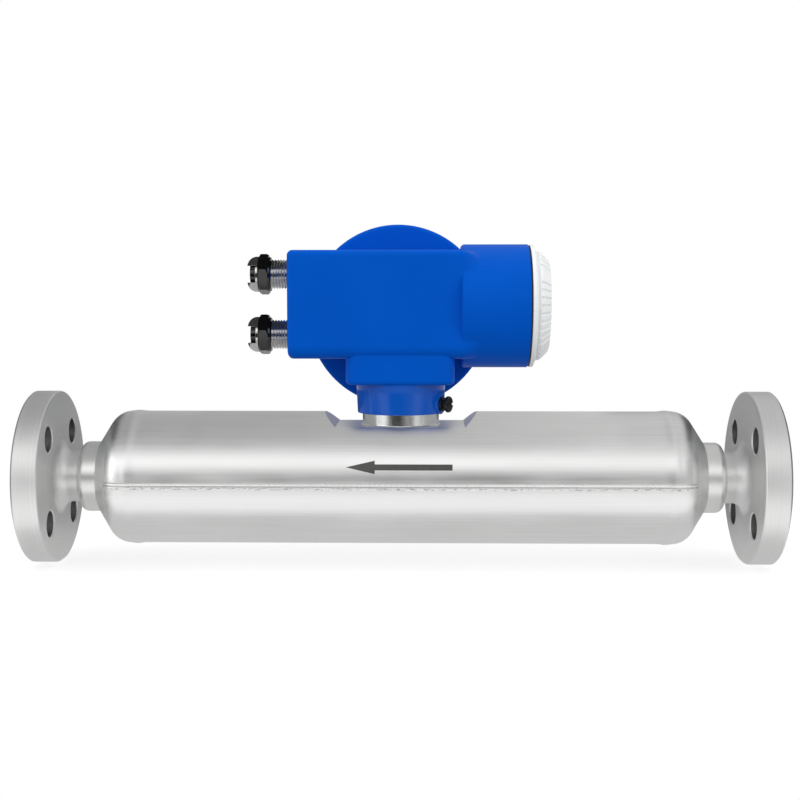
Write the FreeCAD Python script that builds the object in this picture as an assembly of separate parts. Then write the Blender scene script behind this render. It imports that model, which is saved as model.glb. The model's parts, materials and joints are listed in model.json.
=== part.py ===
# In-line coriolis flow meter: two bent measuring tubes in a welded steel casing between two pipe flanges,
# with an aluminium transmitter head that turns on the neck.
import FreeCAD, Part
import math
import os

from FreeCAD import Vector

# Millimetres. The origin is the centre of the inlet's raised face. +X points out of the inlet, against the
# flow, +Z points up through the neck, and the display faces +Y. The parts are built about the meter's
# middle, where the neck stands at x = 0, and moved to the origin when they are written.

# Pipe connection, a DN15 PN40 weld-neck flange
face_to_face = 410.0
flange_d = 95.0
flange_rim_t = 14.0
rim_chamfer = 1.0
raised_face_d = 45.0
raised_face_t = 2.0
bolt_circle_d = 65.0
bolt_hole_d = 14.0
bolt_count = 4
bolt_hole_chamfer = 0.6
pipe_bore_d = 17.3
hub_d = 28.0
hub_l = 12.5
hub_fillet = 7.0

# Casing of two welded half shells with a cone at each end
casing_d = 73.0
casing_wall = 2.5
cone_angle = 57.0
cone_wall = 3.0
shoulder_round = 11.0
flat_z = 29.7
flat_l = 70.0
seam_proud = 0.8
seam_above = 1.3
seam_below = 2.1

# Flow splitter: the collar that shows, and the block inside the casing
collar_d = 38.8
collar_l = 10.5
collar_round = 4.0
splitter_l = 20.0
socket_depth = 10.0
chamber_depth = 4.5
chamber_step = 0.5

# Measuring tubes and what they carry
tube_d = 12.0
tube_wall = 1.0
tube_spacing = 22.0
tube_drop = 12.0
bend_half_l = 120.0
brace_t = 1.5
brace_margin = 4.0
brace_pitch = 10.0
brace_offset = 6.0
clamp_wall = 1.5
clamp_w = 8.0
arm_t = 2.0
arm_h = 14.0
coil_r = 6.5
coil_l = 8.0
coil_bore_r = 3.8
coil_flange_t = 1.0
winding_inset = 0.8
magnet_r = 2.8
magnet_reach = 5.0
pickoff_x = 74.0
probe_w = 6.0
probe_h = 5.0
probe_gap = 0.3

# Neck
neck_d = 42.0
neck_wall = 3.0
neck_top_z = 60.0
neck_foot = 1.2
foot_edge = 0.4
screw_groove_w = 6.6
screw_groove_depth = 1.0
neck_seal_z = 51.5
neck_seal_w = 3.0
neck_seal_depth = 2.0
feedthrough_z = 53.5
feedthrough_t = 4.0
pin_r = 0.6
pin_count = 9
pin_ring_r = 9.0
pin_l = 5.0

# Transmitter housing, one casting
box_left = 59.85
box_depth = 56.0
box_bottom_z = 66.5
box_top_z = 124.2
box_round = 3.0
box_low_round = 7.0
drum_d = 102.8
drum_x = -2.0
drum_z = 88.9
drum_back_y = 24.0
drum_front_y = 58.0
drum_round = 2.0
barrel_z = 94.5
barrel_start = 32.5
barrel_end = 69.0
barrel_round = 2.2
blend_l = 12.0
blend_sunk = 0.1
pad_w = 58.4
pad_depth = 52.0
pad_bottom_z = 52.5
pad_round = 7.0
pad_low_round = 2.5
socket_top_d = 49.0
socket_bottom_d = 47.5
socket_bottom_z = 36.2
housing_wall = 4.0
cable_way_d = 24.0
cavity_round = 3.0
wall_plug_d = 14.0
wall_plug_z = 86.0
wall_plug_lip = 2.0
wall_plug_reach = 3.0

# Terminal side: bore, cover and its seal
barrel_bore_d = 60.0
barrel_wall = 3.55
barrel_seat_step = 2.0
barrel_seat_x = 52.0
barrel_rim_round = 0.4
seal_t = 0.8
seal_edge = 0.2
seal_inset = 0.3
cover_band_inset = 0.25
cover_band_t = 2.2
cover_groove_depth = 2.8
cover_groove_w = 1.1
cover_dome_step = 1.5
cover_dome_l = 7.0
cover_dome_fall = 6.8
cover_dome_round = 1.6
cover_nose_round = 2.0
cover_wall = 3.2
cover_skirt_l = 9.0
cover_skirt_t = 3.0
flute_groups = 4
flutes_per_group = 9
flute_step = 8.4
flute_phase = 8.5
flute_w = 1.4
flute_depth = 1.3

# Display side: cover, window and the stack of boards
display_band_t = 2.6
display_groove_w = 1.2
display_groove_depth = 2.2
display_rim_d = 101.4
display_dome_l = 9.0
display_nose_d = 80.0
display_skirt_l = 9.0
display_skirt_t = 4.0
display_rim_round = 1.0
display_nose_round = 2.0
grip_count = 12
grip_d = 9.0
grip_out = 1.6
window_d = 72.0
window_view_d = 64.0
window_t = 6.0
window_lip = 2.2
retainer_t = 2.6
pillar_flats = 5.5
pillar_ring_r = 37.0
pillar_count = 3
pillar_l = 9.0
spacer_l = 7.4
board_d = 84.0
board_t = 1.6
panel_w = 50.0
panel_h = 28.0
panel_t = 5.0
panel_rise = 6.0
panel_rim = 2.5
frame_t = 1.6
frame_d = 82.0
screw_d = 2.8
screw_head_d = 5.4
screw_head_t = 1.8
screw_reach = 4.0
key_count = 3
key_d = 7.0
key_pitch = 15.0
key_drop = 20.0
key_proud = 0.5

# Terminal block and its carrier
carrier_t = 2.0
carrier_notch_r = 7.0
block_w = 20.0
block_l = 38.0
block_h = 10.0
block_step = 4.0
terminal_count = 6
terminal_pitch = 6.0
terminal_d = 4.0
terminal_depth = 3.0
wire_hole_d = 3.2
slot_w = 0.8
slot_depth = 0.8
ground_screw_d = 6.0
ground_screw_t = 3.0
ground_y = 17.0
ground_drop = 12.0

# Cable glands, M16 on a hexagon of 20 across flats
gland_inset = 12.4
gland_thread_d = 16.0
gland_bore_d = 7.0
gland_shank_out = 11.15
gland_shank_in = 7.15
gland_collar_d = 18.6
gland_collar_t = 1.4
gland_hex = 20.0
gland_hex_l = 4.8
gland_hex_turn = 47.5
gland_hex_chamfer = 0.8
gland_spigot_d = 13.0
gland_spigot_l = 4.8
gland_nut_gap = 0.3
gland_nut_d = 19.3
gland_nut_l = 6.5
gland_nut_round = 5.2
gland_nut_lip = 1.3
gland_nut_mouth_d = 8.6
gland_notch_w = 9.2
gland_notch_depth = 5.2
gland_insert_d = 9.8
gland_insert_l = 9.0
gland_insert_proud = 0.3

# Lock screw, M6, that clamps the head on the neck
lock_z = 41.4
lock_angle = 25.0
lock_d = 6.0
lock_waist_d = 4.6
lock_waist_l = 1.6
lock_head_d = 8.9
lock_head_l = 2.2
lock_head_round = 0.9
lock_slot_w = 1.2
lock_slot_depth = 1.0
lock_washer_d = 8.0
lock_washer_t = 1.4
lock_boss_d = 11.0
lock_boss_proud = 0.8
lock_tip_round = 0.5

# Clearances: between turning pieces, between fixed pieces in each other, and between faces that part
fit_gap = 0.2
weld_gap = 0.04
face_gap = 0.05
over = 1.0

# Sizes that follow from the ones above
half_l = face_to_face / 2
rim_in_x = half_l - raised_face_t - flange_rim_t
collar_face_x = rim_in_x - hub_l
cone_end_x = collar_face_x - collar_l
splitter_in_x = cone_end_x - splitter_l
tube_end_x = splitter_in_x + socket_depth
casing_r = casing_d / 2
collar_r = collar_d / 2
cone_slope = math.tan(math.radians(cone_angle))
shoulder_x = cone_end_x - (casing_r - collar_r) / cone_slope
shoulder_run = shoulder_round * math.tan(math.radians(cone_angle / 2))
split_x = shoulder_x + (shoulder_run + 0.5) * math.cos(math.radians(cone_angle))
tube_r = tube_d / 2
bend_turn = 2 * math.atan(tube_drop / bend_half_l)
bend_r = bend_half_l / (2 * math.sin(bend_turn))
neck_r = neck_d / 2
neck_bore_r = neck_r - neck_wall
socket_bore_r = neck_r + fit_gap
drum_r = drum_d / 2
drum_bore_r = drum_r - housing_wall
drum_floor_y = drum_back_y + housing_wall
drum_centre = (drum_x, 0, drum_z)
display_face_y = drum_front_y + seal_t + 2 * face_gap
display_nose_y = display_face_y + display_band_t + display_groove_w + display_dome_l
window_y = display_nose_y - window_lip - window_t
display_skirt_r = drum_bore_r - fit_gap
power_board_y = drum_floor_y + pillar_l
main_board_y = power_board_y + board_t + spacer_l
panel_y = main_board_y + board_t
frame_y = panel_y + panel_t
barrel_bore_r = barrel_bore_d / 2
barrel_r = barrel_bore_r + barrel_wall
barrel_seat_r = barrel_bore_r - barrel_seat_step
barrel_centre = (0, 0, barrel_z)
cover_face_x = barrel_end + seal_t + 2 * face_gap
cover_groove_x = cover_face_x + cover_band_t
cover_dome_x = cover_groove_x + cover_groove_w
cover_nose_x = cover_dome_x + cover_dome_l
cover_skirt_r = barrel_bore_r - fit_gap
cover_band_r = barrel_r - cover_band_inset
cover_groove_r = cover_band_r - cover_groove_depth
cover_dome_r = cover_band_r - cover_dome_step
cover_nose_r = cover_dome_r - cover_dome_fall
block_x = barrel_seat_x + carrier_t
gland_hex_x = box_left + gland_shank_out + gland_collar_t
gland_spigot_x = gland_hex_x + gland_hex_l
gland_nut_x = gland_spigot_x + gland_nut_gap
gland_insert_end_x = gland_spigot_x + gland_spigot_l + gland_insert_proud
lock_seat_r = socket_bottom_d / 2 + lock_boss_proud


def at(x, y, z):
    """A point, as a vector."""
    return Vector(x, y, z)


def rounded_wire(corners, radii):
    """A closed wire through the corners, each rounded by a tangent arc of its own radius."""
    entries = []
    for i, corner in enumerate(corners):
        back = (corners[i - 1] - corner).normalize()
        ahead = (corners[(i + 1) % len(corners)] - corner).normalize()
        if radii[i] <= 0:
            entries.append((corner, None, corner))
            continue
        half = back.getAngle(ahead) / 2
        run = radii[i] / math.tan(half)
        middle = corner + (back + ahead).normalize() * (radii[i] / math.sin(half) - radii[i])
        entries.append((corner + back * run, middle, corner + ahead * run))
    edges = []
    for i, (start, middle, end) in enumerate(entries):
        if middle is not None:
            edges.append(Part.Arc(start, middle, end).toShape())
        following = entries[(i + 1) % len(entries)][0]
        if end.distanceToPoint(following) > 1e-6:
            edges.append(Part.LineSegment(end, following).toShape())
    return Part.Wire(edges)


def to_axis(shape, axis):
    """Turns a shape that was built along X so that it runs along the named axis."""
    turned_shape = shape.copy()
    if axis == "y":
        turned_shape.rotate(at(0, 0, 0), at(0, 0, 1), 90)
    if axis == "z":
        turned_shape.rotate(at(0, 0, 0), at(0, 1, 0), -90)
    return turned_shape


def turned(profile, axis="x", centre=(0, 0, 0)):
    """A lathe part. The profile lists (distance along the axis, radius, corner rounding)."""
    corners = [at(along, 0, radius) for along, radius, _ in profile]
    wire = rounded_wire(corners, [rounding for _, _, rounding in profile])
    solid = Part.Face(wire).revolve(at(0, 0, 0), at(1, 0, 0), 360)
    solid = to_axis(solid, axis)
    solid.translate(at(*centre))
    return solid


def rod(radius, start, end, axis="x", centre=(0, 0, 0)):
    """A plain cylinder from start to end along an axis through centre."""
    solid = Part.makeCylinder(radius, end - start, at(start, 0, 0), at(1, 0, 0))
    solid = to_axis(solid, axis)
    solid.translate(at(*centre))
    return solid


def block(x0, x1, y0, y1, z0, z1):
    """A box between two corners."""
    return Part.makeBox(x1 - x0, y1 - y0, z1 - z0, at(x0, y0, z0))


def fused(shapes):
    """All the shapes as one, with no seams left on joined faces."""
    whole = shapes[0].multiFuse(shapes[1:]) if len(shapes) > 1 else shapes[0]
    return whole.removeSplitter()


def mirrored(shape):
    """The same piece at the outlet end."""
    return shape.mirror(at(0, 0, 0), at(1, 0, 0))


def on_ring(count, radius, phase=0.0):
    """Evenly spaced points (along, up) on a circle."""
    for k in range(count):
        angle = math.radians(phase + 360.0 * k / count)
        yield radius * math.cos(angle), radius * math.sin(angle)


# Flanges and flow splitters


def flange():
    """Inlet flange with its raised face, hub and bolt holes."""
    rim_out_x = half_l - raised_face_t
    body = turned([
        (half_l, pipe_bore_d / 2, 0),
        (half_l, raised_face_d / 2, 0),
        (rim_out_x, raised_face_d / 2, 0),
        (rim_out_x, flange_d / 2 - rim_chamfer, 0),
        (rim_out_x - rim_chamfer, flange_d / 2, 0),
        (rim_in_x, flange_d / 2, rim_chamfer),
        (rim_in_x, hub_d / 2, hub_fillet),
        (collar_face_x, hub_d / 2, 0),
        (collar_face_x, pipe_bore_d / 2, 0),
    ])
    hole_r = bolt_hole_d / 2
    holes = []
    for y, z in on_ring(bolt_count, bolt_circle_d / 2, 180.0 / bolt_count):
        holes.append(rod(hole_r, rim_in_x - over, rim_out_x + over, "x", (0, y, z)))
        mouth_r = hole_r + bolt_hole_chamfer
        holes.append(Part.makeCone(mouth_r, hole_r, bolt_hole_chamfer, at(rim_in_x, y, z), at(1, 0, 0)))
    return body.cut(fused(holes))


def splitter():
    """Inlet flow splitter: one pipe bore that divides into a socket for each measuring tube."""
    body = turned([
        (collar_face_x, 0, 0),
        (collar_face_x, collar_r, collar_round),
        (splitter_in_x, collar_r, cavity_round),
        (splitter_in_x, 0, 0),
    ])
    chamber_x = collar_face_x - chamber_depth
    ways = [rod(pipe_bore_d / 2 + chamber_step, chamber_x, collar_face_x + over)]
    for side in (-1, 1):
        y = side * tube_spacing / 2
        mouth = Part.Wire(Part.makeCircle(pipe_bore_d / 2, at(chamber_x, 0, 0), at(-1, 0, 0)))
        throat = Part.Wire(Part.makeCircle(tube_r - tube_wall, at(tube_end_x, y, 0), at(-1, 0, 0)))
        ways.append(Part.makeLoft([mouth, throat], True))
        ways.append(rod(tube_r + weld_gap, splitter_in_x - over, tube_end_x, "x", (0, y, 0)))
    for way in ways:
        body = body.cut(way)
    return body


# Casing


def casing_form(inset, end_x):
    """The casing's revolved outline, moved in by inset, closed at end_x."""
    radius = casing_r - inset
    corner_x = shoulder_x - inset * math.tan(math.radians(cone_angle / 2))
    end_r = radius - (end_x - corner_x) * cone_slope
    rounding = shoulder_round - inset
    return turned([
        (-end_x, 0, 0),
        (-end_x, end_r, 0),
        (-corner_x, radius, rounding),
        (corner_x, radius, rounding),
        (end_x, end_r, 0),
        (end_x, 0, 0),
    ])


def flat_cutter(inset):
    """What is taken off the casing's top for the neck: a flat floor with two slopes of 45 degrees."""
    floor = flat_z - inset
    half = flat_l / 2 + inset * math.tan(math.radians(22.5))
    rise = casing_r + over - floor
    corners = [
        at(-half, -casing_r - over, floor),
        at(half, -casing_r - over, floor),
        at(half + rise, -casing_r - over, floor + rise),
        at(-half - rise, -casing_r - over, floor + rise),
    ]
    face = Part.Face(rounded_wire(corners, [0, 0, 0, 0]))
    return face.extrude(at(0, casing_d + 2 * over, 0))


def casing_shell():
    """The whole casing wall between the end cones, before it is parted into halves."""
    outer = casing_form(0, split_x).cut(flat_cutter(0))
    inner = casing_form(casing_wall, split_x + over).cut(flat_cutter(casing_wall))
    wiring_hole = rod(neck_bore_r, flat_z - casing_wall - over, flat_z + over, "z")
    return outer.cut(inner).cut(wiring_hole)


def half_space(up):
    """A block that covers everything above or below the seam."""
    low, high = (0, casing_d) if up else (-casing_d, 0)
    return block(-half_l, half_l, -casing_d, casing_d, low, high)


def seam_weld(side):
    """The weld that closes the two halves along the front or the back."""
    low_y, high_y = (-casing_d, -casing_r / 2) if side < 0 else (casing_r / 2, casing_d)
    strip = block(-split_x, split_x, low_y, high_y, -seam_below, seam_above)
    return strip.common(casing_form(-seam_proud, split_x)).cut(casing_form(0, split_x + over))


def end_cone():
    """Cone that joins the casing to the splitter's collar at the inlet."""
    wall_x = cone_wall / math.sin(math.radians(cone_angle))
    split_r = casing_r - (split_x - shoulder_x) * cone_slope
    inner_end_x = cone_end_x - wall_x
    bore_r = collar_r + weld_gap
    return turned([
        (split_x, split_r, 0),
        (cone_end_x - weld_gap, bore_r, 0),
        (inner_end_x, bore_r, 0),
        (split_x, bore_r + (inner_end_x - split_x) * cone_slope, 0),
    ])


# Measuring tubes


def tube_place(x):
    """Height and slope, in degrees, of a measuring tube's centre line at x."""
    reach = abs(x)
    if reach <= bend_half_l / 2:
        height = -tube_drop + bend_r - math.sqrt(bend_r ** 2 - x ** 2)
        slope = math.asin(reach / bend_r)
    elif reach <= bend_half_l:
        run = bend_half_l - reach
        height = math.sqrt(bend_r ** 2 - run ** 2) - bend_r
        slope = math.asin(run / bend_r)
    else:
        height = 0.0
        slope = 0.0
    return height, math.degrees(math.copysign(slope, x))


def tube_path(y):
    """A tube's centre line: straight at both ends, with three tangent arcs that bow it down."""
    marks = [-bend_half_l, -0.75 * bend_half_l, -0.5 * bend_half_l, 0.0]
    marks += [-x for x in reversed(marks[:-1])]
    points = [at(x, y, tube_place(x)[0]) for x in marks]
    start = at(-tube_end_x, y, 0)
    end = at(tube_end_x, y, 0)
    edges = [Part.LineSegment(start, points[0]).toShape()]
    for k in (0, 2, 4):
        edges.append(Part.Arc(points[k], points[k + 1], points[k + 2]).toShape())
    edges.append(Part.LineSegment(points[-1], end).toShape())
    return Part.Wire(edges)


def measuring_tube(side):
    """One measuring tube, from splitter to splitter."""
    y = side * tube_spacing / 2
    solids = []
    for radius in (tube_r, tube_r - tube_wall):
        section = Part.Wire(Part.makeCircle(radius, at(-tube_end_x, y, 0), at(1, 0, 0)))
        solids.append(tube_path(y).makePipeShell([section], True, True))
    return solids[0].cut(solids[1])


def brace_plates():
    """The two plates near the inlet that tie the tubes together and set where they start to swing."""
    half_w = tube_spacing / 2 + tube_r + brace_margin
    half_h = tube_r + brace_margin
    plates = []
    for k in (0, 1):
        x = splitter_in_x - brace_offset - k * brace_pitch
        sides = ((-1, -1), (1, -1), (1, 1), (-1, 1))
        corners = [at(x, y * half_w, z * half_h) for y, z in sides]
        plate = Part.Face(rounded_wire(corners, [half_h * 0.8] * 4)).extrude(at(-brace_t, 0, 0))
        for side in (-1, 1):
            hole = rod(tube_r + weld_gap, x - brace_t - over, x + over, "x", (0, side * tube_spacing / 2, 0))
            plate = plate.cut(hole)
        plates.append(plate)
    return Part.makeCompound(plates)


def on_tubes(shape, x):
    """Moves a piece that was built at the tubes' level place to where they pass x, square to them."""
    height, slope = tube_place(x)
    placed = shape.copy()
    placed.rotate(at(0, 0, 0), at(0, 1, 0), -slope)
    placed.translate(at(x, 0, height))
    return placed


def clamp_arm(side):
    """The clamp round one tube, with the arm that carries a coil or a magnet above it."""
    y = side * tube_spacing / 2
    outer_r = tube_r + clamp_wall
    ring = rod(outer_r, -clamp_w / 2, clamp_w / 2, "x", (0, y, 0))
    arm = block(-clamp_w / 2, clamp_w / 2, y - arm_t / 2, y + arm_t / 2, tube_r, arm_h)
    head = rod(coil_r, y - arm_t / 2, y + arm_t / 2, "y", (0, 0, arm_h))
    bore = rod(tube_r + weld_gap, -clamp_w, clamp_w, "x", (0, y, 0))
    return fused([ring, arm, head]).cut(bore)


def coil():
    """A coil on the back tube's arm: a bobbin with its winding a little inside the flanges."""
    end = tube_spacing / 2 - arm_t / 2
    start = end - coil_l
    return turned([
        (start, coil_bore_r, 0),
        (start, coil_r, 0),
        (start + coil_flange_t, coil_r, 0),
        (start + coil_flange_t, coil_r - winding_inset, 0),
        (end - coil_flange_t, coil_r - winding_inset, 0),
        (end - coil_flange_t, coil_r, 0),
        (end, coil_r, 0),
        (end, coil_bore_r, 0),
    ], "y", (0, 0, arm_h))


def magnet():
    """A magnet on the front tube's arm, reaching into the coil."""
    start = -(tube_spacing / 2 - arm_t / 2)
    return rod(magnet_r, start, magnet_reach, "y", (0, 0, arm_h))


def temperature_probe():
    """The sensor strapped on top of the front tube, between the outlet's brace plates."""
    start = -(splitter_in_x - brace_offset - brace_t) + probe_gap
    end = -(splitter_in_x - brace_offset - brace_pitch) - probe_gap
    y = -tube_spacing / 2
    body = block(start, end, y - probe_w / 2, y + probe_w / 2, 0, tube_r + probe_h)
    return body.cut(rod(tube_r + weld_gap, start - over, end + over, "x", (0, y, 0)))


# Neck


def neck():
    """The steel neck, welded to the flat, with a groove for the lock screw and one for the seal."""
    foot_z = flat_z + foot_edge
    groove_r = neck_r - screw_groove_depth
    seal_r = neck_r - neck_seal_depth
    half_groove = screw_groove_w / 2
    half_seal = neck_seal_w / 2 + face_gap
    return turned([
        (flat_z, neck_bore_r, 0),
        (flat_z, neck_r + neck_foot + foot_edge, 0),
        (foot_z, neck_r + neck_foot + foot_edge, 0),
        (foot_z, neck_r, neck_foot),
        (lock_z - half_groove, neck_r, 0),
        (lock_z - half_groove, groove_r, 0),
        (lock_z + half_groove, groove_r, 0),
        (lock_z + half_groove, neck_r, 0),
        (neck_seal_z - half_seal, neck_r, 0),
        (neck_seal_z - half_seal, seal_r, 0),
        (neck_seal_z + half_seal, seal_r, 0),
        (neck_seal_z + half_seal, neck_r, 0),
        (neck_top_z, neck_r, 0),
        (neck_top_z, neck_bore_r, 0),
    ], "z")


def neck_seal():
    """The ring in the neck's upper groove, on which the head turns."""
    half = neck_seal_w / 2
    inner_r = neck_r - neck_seal_depth + face_gap
    return turned([
        (neck_seal_z - half, inner_r, 0),
        (neck_seal_z - half, neck_r, seal_edge),
        (neck_seal_z + half, neck_r, seal_edge),
        (neck_seal_z + half, inner_r, 0),
    ], "z")


def neck_feedthrough():
    """The sealed plug in the neck, with the pins that bring the sensor's wires out."""
    plug = rod(neck_bore_r - weld_gap, feedthrough_z - feedthrough_t, feedthrough_z, "z")
    pins = []
    for x, y in on_ring(pin_count, pin_ring_r):
        pins.append(rod(pin_r, feedthrough_z - feedthrough_t - pin_l, feedthrough_z + pin_l, "z", (x, y, 0)))
    return fused([plug] + pins)


# Transmitter housing


def rounded_block():
    """The front chamber's block, with soft edges and a wider round along the lower front."""
    half_d = box_depth / 2
    body = block(-box_left, barrel_start, -half_d, half_d, box_bottom_z, box_top_z)
    near = 0.01
    low_front = []
    for edge in body.Edges:
        middle = edge.CenterOfMass
        if middle.y < near - half_d and middle.z < box_bottom_z + near:
            low_front.append(edge)
    body = body.makeFillet(box_low_round, low_front)
    soft = []
    for edge in body.Edges:
        middle = edge.CenterOfMass
        on_end = edge.BoundBox.XMax < near - box_left
        on_side = abs(middle.y) > half_d - near
        on_level = middle.z < box_bottom_z + near or middle.z > box_top_z - near
        if on_end or (on_side and on_level):
            soft.append(edge)
    return body.makeFillet(box_round, soft)


def barrel_form():
    """The terminal side's barrel, round at its left end."""
    return turned([
        (barrel_start, 0, 0),
        (barrel_start, barrel_r, barrel_round),
        (barrel_end, barrel_r, barrel_rim_round),
        (barrel_end, 0, 0),
    ], "x", barrel_centre)


def blend_form():
    """The casting's shoulders, which lead from the box's section to the barrel's circle."""
    half_d = box_depth / 2
    section = rounded_wire([
        at(barrel_start, -half_d, box_bottom_z),
        at(barrel_start, half_d, box_bottom_z),
        at(barrel_start, half_d, box_top_z),
        at(barrel_start, -half_d, box_top_z),
    ], [box_low_round, box_round, box_round, box_round])
    start_middle = at(barrel_start, 0, barrel_z)
    end_middle = at(barrel_start + blend_l, 0, barrel_z)
    radius = barrel_r - blend_sunk

    def on_circle(direction):
        return end_middle + direction * (radius / direction.Length)

    corners = [edge.Vertexes[0].Point - start_middle for edge in section.OrderedEdges]
    arcs = []
    for i, corner in enumerate(corners):
        following = corners[(i + 1) % len(corners)]
        arc = Part.Arc(on_circle(corner), on_circle(corner + following), on_circle(following))
        arcs.append(arc.toShape())
    return Part.makeLoft([section, Part.Wire(arcs)], True, True)


def drum_form():
    """The display side's drum."""
    return turned([
        (drum_back_y, 0, 0),
        (drum_back_y, drum_r, drum_round),
        (drum_front_y, drum_r, barrel_rim_round),
        (drum_front_y, 0, 0),
    ], "y", drum_centre)


def pad_form():
    """The thick pad under the box that carries the neck socket."""
    half_w = pad_w / 2
    half_d = pad_depth / 2
    corners = [
        at(-half_w, -half_d, pad_bottom_z),
        at(half_w, -half_d, pad_bottom_z),
        at(half_w, half_d, pad_bottom_z),
        at(-half_w, half_d, pad_bottom_z),
    ]
    plan = Part.Face(rounded_wire(corners, [pad_round] * len(corners)))
    pad = plan.extrude(at(0, 0, box_bottom_z + housing_wall - pad_bottom_z))
    low_edges = [edge for edge in pad.Edges if edge.BoundBox.ZMax < pad_bottom_z + 0.01]
    return pad.makeFillet(pad_low_round, low_edges)


def socket_form():
    """The collar that grips the neck, a little wider at the top."""
    top_z = pad_bottom_z + housing_wall
    return turned([
        (socket_bottom_z, 0, 0),
        (socket_bottom_z, socket_bottom_d / 2, barrel_rim_round),
        (top_z, socket_top_d / 2, 0),
        (top_z, 0, 0),
    ], "z")


def on_lock_axis(shape):
    """Moves a piece that was built along X to the lock screw's axis, measured from the neck's."""
    placed = shape.copy()
    placed.rotate(at(0, 0, 0), at(0, 0, 1), -lock_angle)
    placed.translate(at(0, 0, lock_z))
    return placed


def housing():
    """The transmitter's casting, with both chambers, the neck socket and the threaded holes."""
    wall = housing_wall
    half_d = box_depth / 2
    barrel = barrel_form()
    boss = on_lock_axis(rod(lock_boss_d / 2, socket_bore_r, lock_seat_r))
    box = fused([rounded_block(), blend_form()])
    body = fused([box, drum_form(), barrel, pad_form(), socket_form(), boss])
    box_room = block(-box_left + wall, barrel_start + wall, wall - half_d, half_d - wall,
                     box_bottom_z + wall, box_top_z - wall)
    box_room = box_room.makeFillet(cavity_round, box_room.Edges)
    seat_start = barrel_start + wall - cavity_round
    plug_z = (drum_x, 0, wall_plug_z)
    tools = [
        rod(drum_bore_r, drum_floor_y, drum_front_y + over, "y", drum_centre).cut(barrel),
        box_room,
        rod(barrel_seat_r, seat_start, barrel_seat_x + over, "x", barrel_centre),
        rod(barrel_bore_r, barrel_seat_x, barrel_end + over, "x", barrel_centre),
        rod(socket_bore_r, socket_bottom_z - over, neck_top_z + face_gap, "z"),
        rod(cable_way_d / 2, neck_top_z, box_bottom_z + wall + over, "z"),
        rod(wall_plug_d / 2 + weld_gap, half_d - wall - over, drum_floor_y + over, "y", plug_z),
        on_lock_axis(rod(lock_d / 2 + fit_gap, 0, lock_seat_r + over)),
    ]
    for z in gland_levels():
        start = -box_left - over
        end = wall + cavity_round - box_left
        tools.append(rod(gland_thread_d / 2 + weld_gap, start, end, "x", (0, 0, z)))
    for tool in tools:
        body = body.cut(tool)
    return body


def gland_levels():
    """The heights of the upper and the lower cable gland."""
    return box_top_z - gland_inset, box_bottom_z + gland_inset


def wall_plug():
    """The sealed plug that leads the wires through the wall between the two chambers."""
    lip_r = wall_plug_d / 2 + wall_plug_lip
    inner_y = box_depth / 2 - housing_wall
    return turned([
        (inner_y - wall_plug_reach, 0, 0),
        (inner_y - wall_plug_reach, wall_plug_d / 2, 0),
        (drum_floor_y, wall_plug_d / 2, 0),
        (drum_floor_y, lip_r, 0),
        (drum_floor_y + wall_plug_lip, lip_r, 0),
        (drum_floor_y + wall_plug_lip, 0, 0),
    ], "y", (drum_x, 0, wall_plug_z))


# Display side


def ring_places():
    """Where the pillars stand round the drum's axis, as (x, z)."""
    for along, up in on_ring(pillar_count, pillar_ring_r, 90.0):
        yield drum_x + along, drum_z + up


def hexagon(flats, start, end, axis, centre, turn=0.0):
    """A hexagonal bar between two points of an axis."""
    radius = flats / math.sqrt(3)
    corners = [at(start, y, z) for y, z in on_ring(6, radius, turn)]
    bar = Part.Face(rounded_wire(corners, [0] * 6)).extrude(at(end - start, 0, 0))
    bar = to_axis(bar, axis)
    bar.translate(at(*centre))
    return bar


def pillars(start, end):
    """Three hexagonal pillars with a threaded core for the screws."""
    bars = []
    for x, z in ring_places():
        bar = hexagon(pillar_flats, start, end, "y", (x, 0, z))
        bars.append(bar.cut(rod(screw_d / 2 + weld_gap, start - over, end + over, "y", (x, 0, z))))
    return Part.makeCompound(bars)


def board(start):
    """A round circuit board with a hole for each screw."""
    plate = rod(board_d / 2, start, start + board_t, "y", drum_centre)
    for x, z in ring_places():
        plate = plate.cut(rod(screw_d / 2 + weld_gap, start - over, start + board_t + over, "y", (x, 0, z)))
    return plate


def panel_rect(inset, start, end):
    """A block on the display panel's outline, moved in by inset."""
    half_w = panel_w / 2 - inset
    half_h = panel_h / 2 - inset
    middle = drum_z + panel_rise
    return block(drum_x - half_w, drum_x + half_w, start, end, middle - half_h, middle + half_h)


def display_panel():
    """The display panel on the main board, with its viewing area a little sunk."""
    body = panel_rect(0, panel_y, frame_y)
    return body.cut(panel_rect(panel_rim, frame_y - weld_gap, frame_y + over))


def key_places():
    """Where the three touch points lie in a row under the display panel, as (x, z)."""
    for k in range(key_count):
        yield drum_x + (k - (key_count - 1) / 2) * key_pitch, drum_z - key_drop


def display_frame():
    """The front plate over the boards, with openings for the panel, the touch points and the screws."""
    plate = rod(frame_d / 2, frame_y, frame_y + frame_t, "y", drum_centre)
    plate = plate.cut(panel_rect(panel_rim, frame_y - over, frame_y + frame_t + over))
    for x, z in key_places():
        plate = plate.cut(rod(key_d / 2 + weld_gap, frame_y - over, frame_y + frame_t + over, "y", (x, 0, z)))
    hole_r = screw_d / 2 + weld_gap
    for x, z in ring_places():
        plate = plate.cut(rod(hole_r, frame_y - over, frame_y + frame_t + over, "y", (x, 0, z)))
    return plate


def touch_windows():
    """The three light guides that sense a finger through the glass; nothing in them travels."""
    end = frame_y + frame_t + key_proud
    return Part.makeCompound([rod(key_d / 2, panel_y, end, "y", (x, 0, z)) for x, z in key_places()])


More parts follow.
